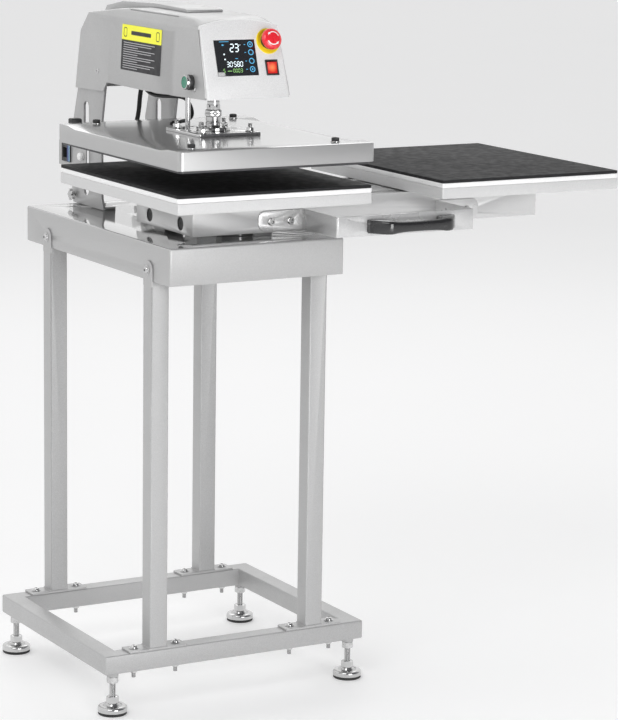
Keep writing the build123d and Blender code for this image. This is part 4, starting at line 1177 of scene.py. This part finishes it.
def inlet():
    """Socket, gland and reset knob on the left plate, and the star knob under them."""
    softened("mains_inlet", 0.0008, black_matt)
    low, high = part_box("mains_inlet")
    place = placed((low.x, 0, 0), (-1, 0, 0), (0, 1, 0))
    tall, height = high.z - low.z - 0.003, middle((low, high)).z
    for name, mat, offset, width in (("navy", socket_blue, 0.0078, 0.0088),
        ("pale", socket_cyan, 0.0020, 0.0024)):
        bm = bmesh.new()
        stripe = rounded_rectangle(width, tall, 0.001, 3, (low.y + offset, height))
        outline_prism(bm, [(x, -z) for x, z in stripe][::-1], -0.0002, 0.0004, place)
        finished("inlet_%s_stripe" % name, bm, mat, "frame", "black_plastic")
    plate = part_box("arm_plate_left")[0].x + 0.003
    star_knob_at = (0.331, 0.898)
    gland_and_knob_split = 0.27

    def lobes(angle):
        return 0.0098 + 0.0028 * math.cos(5 * angle)

    rings = [(0.004, 0), (0.004, 0.004), (0.0085, 0.0042), (lobes, 0.0052), (lobes, 0.0102),
        (0.0078, 0.0116), (0.003, 0.012)]
    at = placed((plate, *star_knob_at), (-1, 0, 0), (0, 1, 0))
    turned_piece("plate_star_knob", rings, at, 90, nickel, "frame", "zinc")
    for low, high, spot in islands("plate_fittings"):
        if spot.y > gland_and_knob_split:
            at = placed((high.x, spot.y, spot.z), (-1, 0, 0), (0, 1, 0))
            rings = [(0.0072, 0), (0.0072, 0.003), (0.008, 0.0034), (0.008, 0.0058), (0.0072, 0.0078),
                (0.0052, 0.0089), (0.002, 0.009)]
            turned_piece("reset_knob", rings, at, 48, knob_white, "frame", "plate_steel", 45,
                ["plate_fittings"])
        else:
            at = placed((low.x, spot.y, spot.z), (1, 0, 0), (0, 1, 0))
            rings = nut_rings(0.0092, 0, 0.005) + [(0.0078, 0.0052), (0.0078, 0.009), (0.0068, 0.0112),
                (0.0055, 0.012)]
            turned_piece("conduit_gland", rings, at, 60, black_matt, "frame", "plate_steel")


def inner_parts():
    """Finishes of the pieces that stay as they are, mostly out of sight."""
    kept = {
        "slide_bearings": cast, "carriage_shafts": ground, "heating_plate": heater_coat, "guide_rod": chrome,
        "arm_ties": nickel, "actuator_bed": plate_paint, "drive_units": cast, "platen_screws": nickel,
    }
    for node, mat in kept.items():
        for place in nodes[node].material_slots:
            place.material = mat


# ---------------------------------------------------------------- stage, light and camera
def stage():
    """A wide pale floor."""
    bm = bmesh.new()
    bmesh.ops.create_grid(bm, x_segments=8, y_segments=8, size=60)
    mesh = bpy.data.meshes.new("floor")
    bm.to_mesh(mesh)
    bm.free()
    mat = material("pale_floor", shade(0.84), 0.75, 0.0, Specular_IOR_Level=0.1,
        Emission_Color=(1, 1, 1, 1), Emission_Strength=0.22)
    tint(mat, noise(mat, 0.8, 3), [(0.3, shade(0.835)), (0.7, shade(0.845))])
    mesh.materials.append(mat)
    floor = linked("floor", mesh)


def soft_light(name, spot, target, size, power):
    """A large square lamp that faces a point."""
    lamp = bpy.data.lights.new(name, "AREA")
    lamp.shape = "RECTANGLE"
    lamp.size, lamp.size_y = size
    lamp.energy = power
    holder = linked(name, lamp)
    holder.location = spot
    holder.rotation_euler = (Vector(target) - Vector(spot)).to_track_quat("-Z", "Y").to_euler()


def lights():
    world = bpy.data.worlds.new("studio")
    bpy.context.scene.world = world
    world.use_nodes = True
    background = world.node_tree.nodes["Background"]
    background.inputs["Strength"].default_value = 1.0
    tree = world.node_tree
    direction = added(tree, "TexCoord")
    darkest, along = Vector((0.2, -0.85, 0.45)), Vector((1, 0, 0))
    turn = darkest.rotation_difference(along).to_euler()
    frontward = added(tree, "Mapping", Location=(0.5, 0, 0), Rotation=turn, Scale=(0.5, 0.5, 0.5))
    sweep = added(tree, "TexGradient")
    ramp = added(tree, "ValToRGB")
    ramp.color_ramp.elements[0].position = 0.60
    ramp.color_ramp.elements[0].color = (1, 1, 1, 1)
    ramp.color_ramp.elements[1].position = 0.86
    ramp.color_ramp.elements[1].color = (0.16, 0.16, 0.17, 1)
    tree.links.new(direction.outputs["Generated"], frontward.inputs["Vector"])
    tree.links.new(frontward.outputs["Vector"], sweep.inputs["Vector"])
    tree.links.new(sweep.outputs["Fac"], ramp.inputs["Fac"])
    tree.links.new(ramp.outputs["Color"], background.inputs["Color"])
    aim = (-0.1, -0.1, 0.9)
    soft_light("key", (-3.2, -2.6, 4.2), aim, (2.6, 2.6), 55)
    soft_light("front", (-0.2, -5.4, 1.3), aim, (2.4, 2.4), 125)
    soft_light("rim", (1.6, 3.8, 3.4), aim, (3.0, 1.6), 25)
    bpy.context.scene.view_settings.view_transform = "Standard"


def camera():
    """The viewing angle: from the front left, a little above the platens."""
    spot, aim = Vector((-2.6797, -4.7921, 1.6504)), Vector((-0.0913, -0.2332, 0.640))
    roll, lens = 0.8532, 141.3
    lens_data = bpy.data.cameras.new("view")
    lens_data.lens, lens_data.sensor_width = lens, 36
    holder = linked("view", lens_data)
    turn = (aim - spot).to_track_quat("-Z", "Y").to_matrix() @ Matrix.Rotation(math.radians(roll), 3, "Z")
    holder.matrix_world = Matrix.Translation(spot) @ turn.to_4x4()
    bpy.context.scene.camera = holder


base_frame()
foot_hardware()
legs()
weld_beads()
stand_bolts()
table()
carriage()
strap_fasteners()
pull_handle()
platen_cover()
cover_screws()
thrust_stack()
head_shell()
screws_on_head()
side_label()
display()
stop_button()
switches()
arm()
cables()
inlet()
inner_parts()
stage()
lights()
camera()
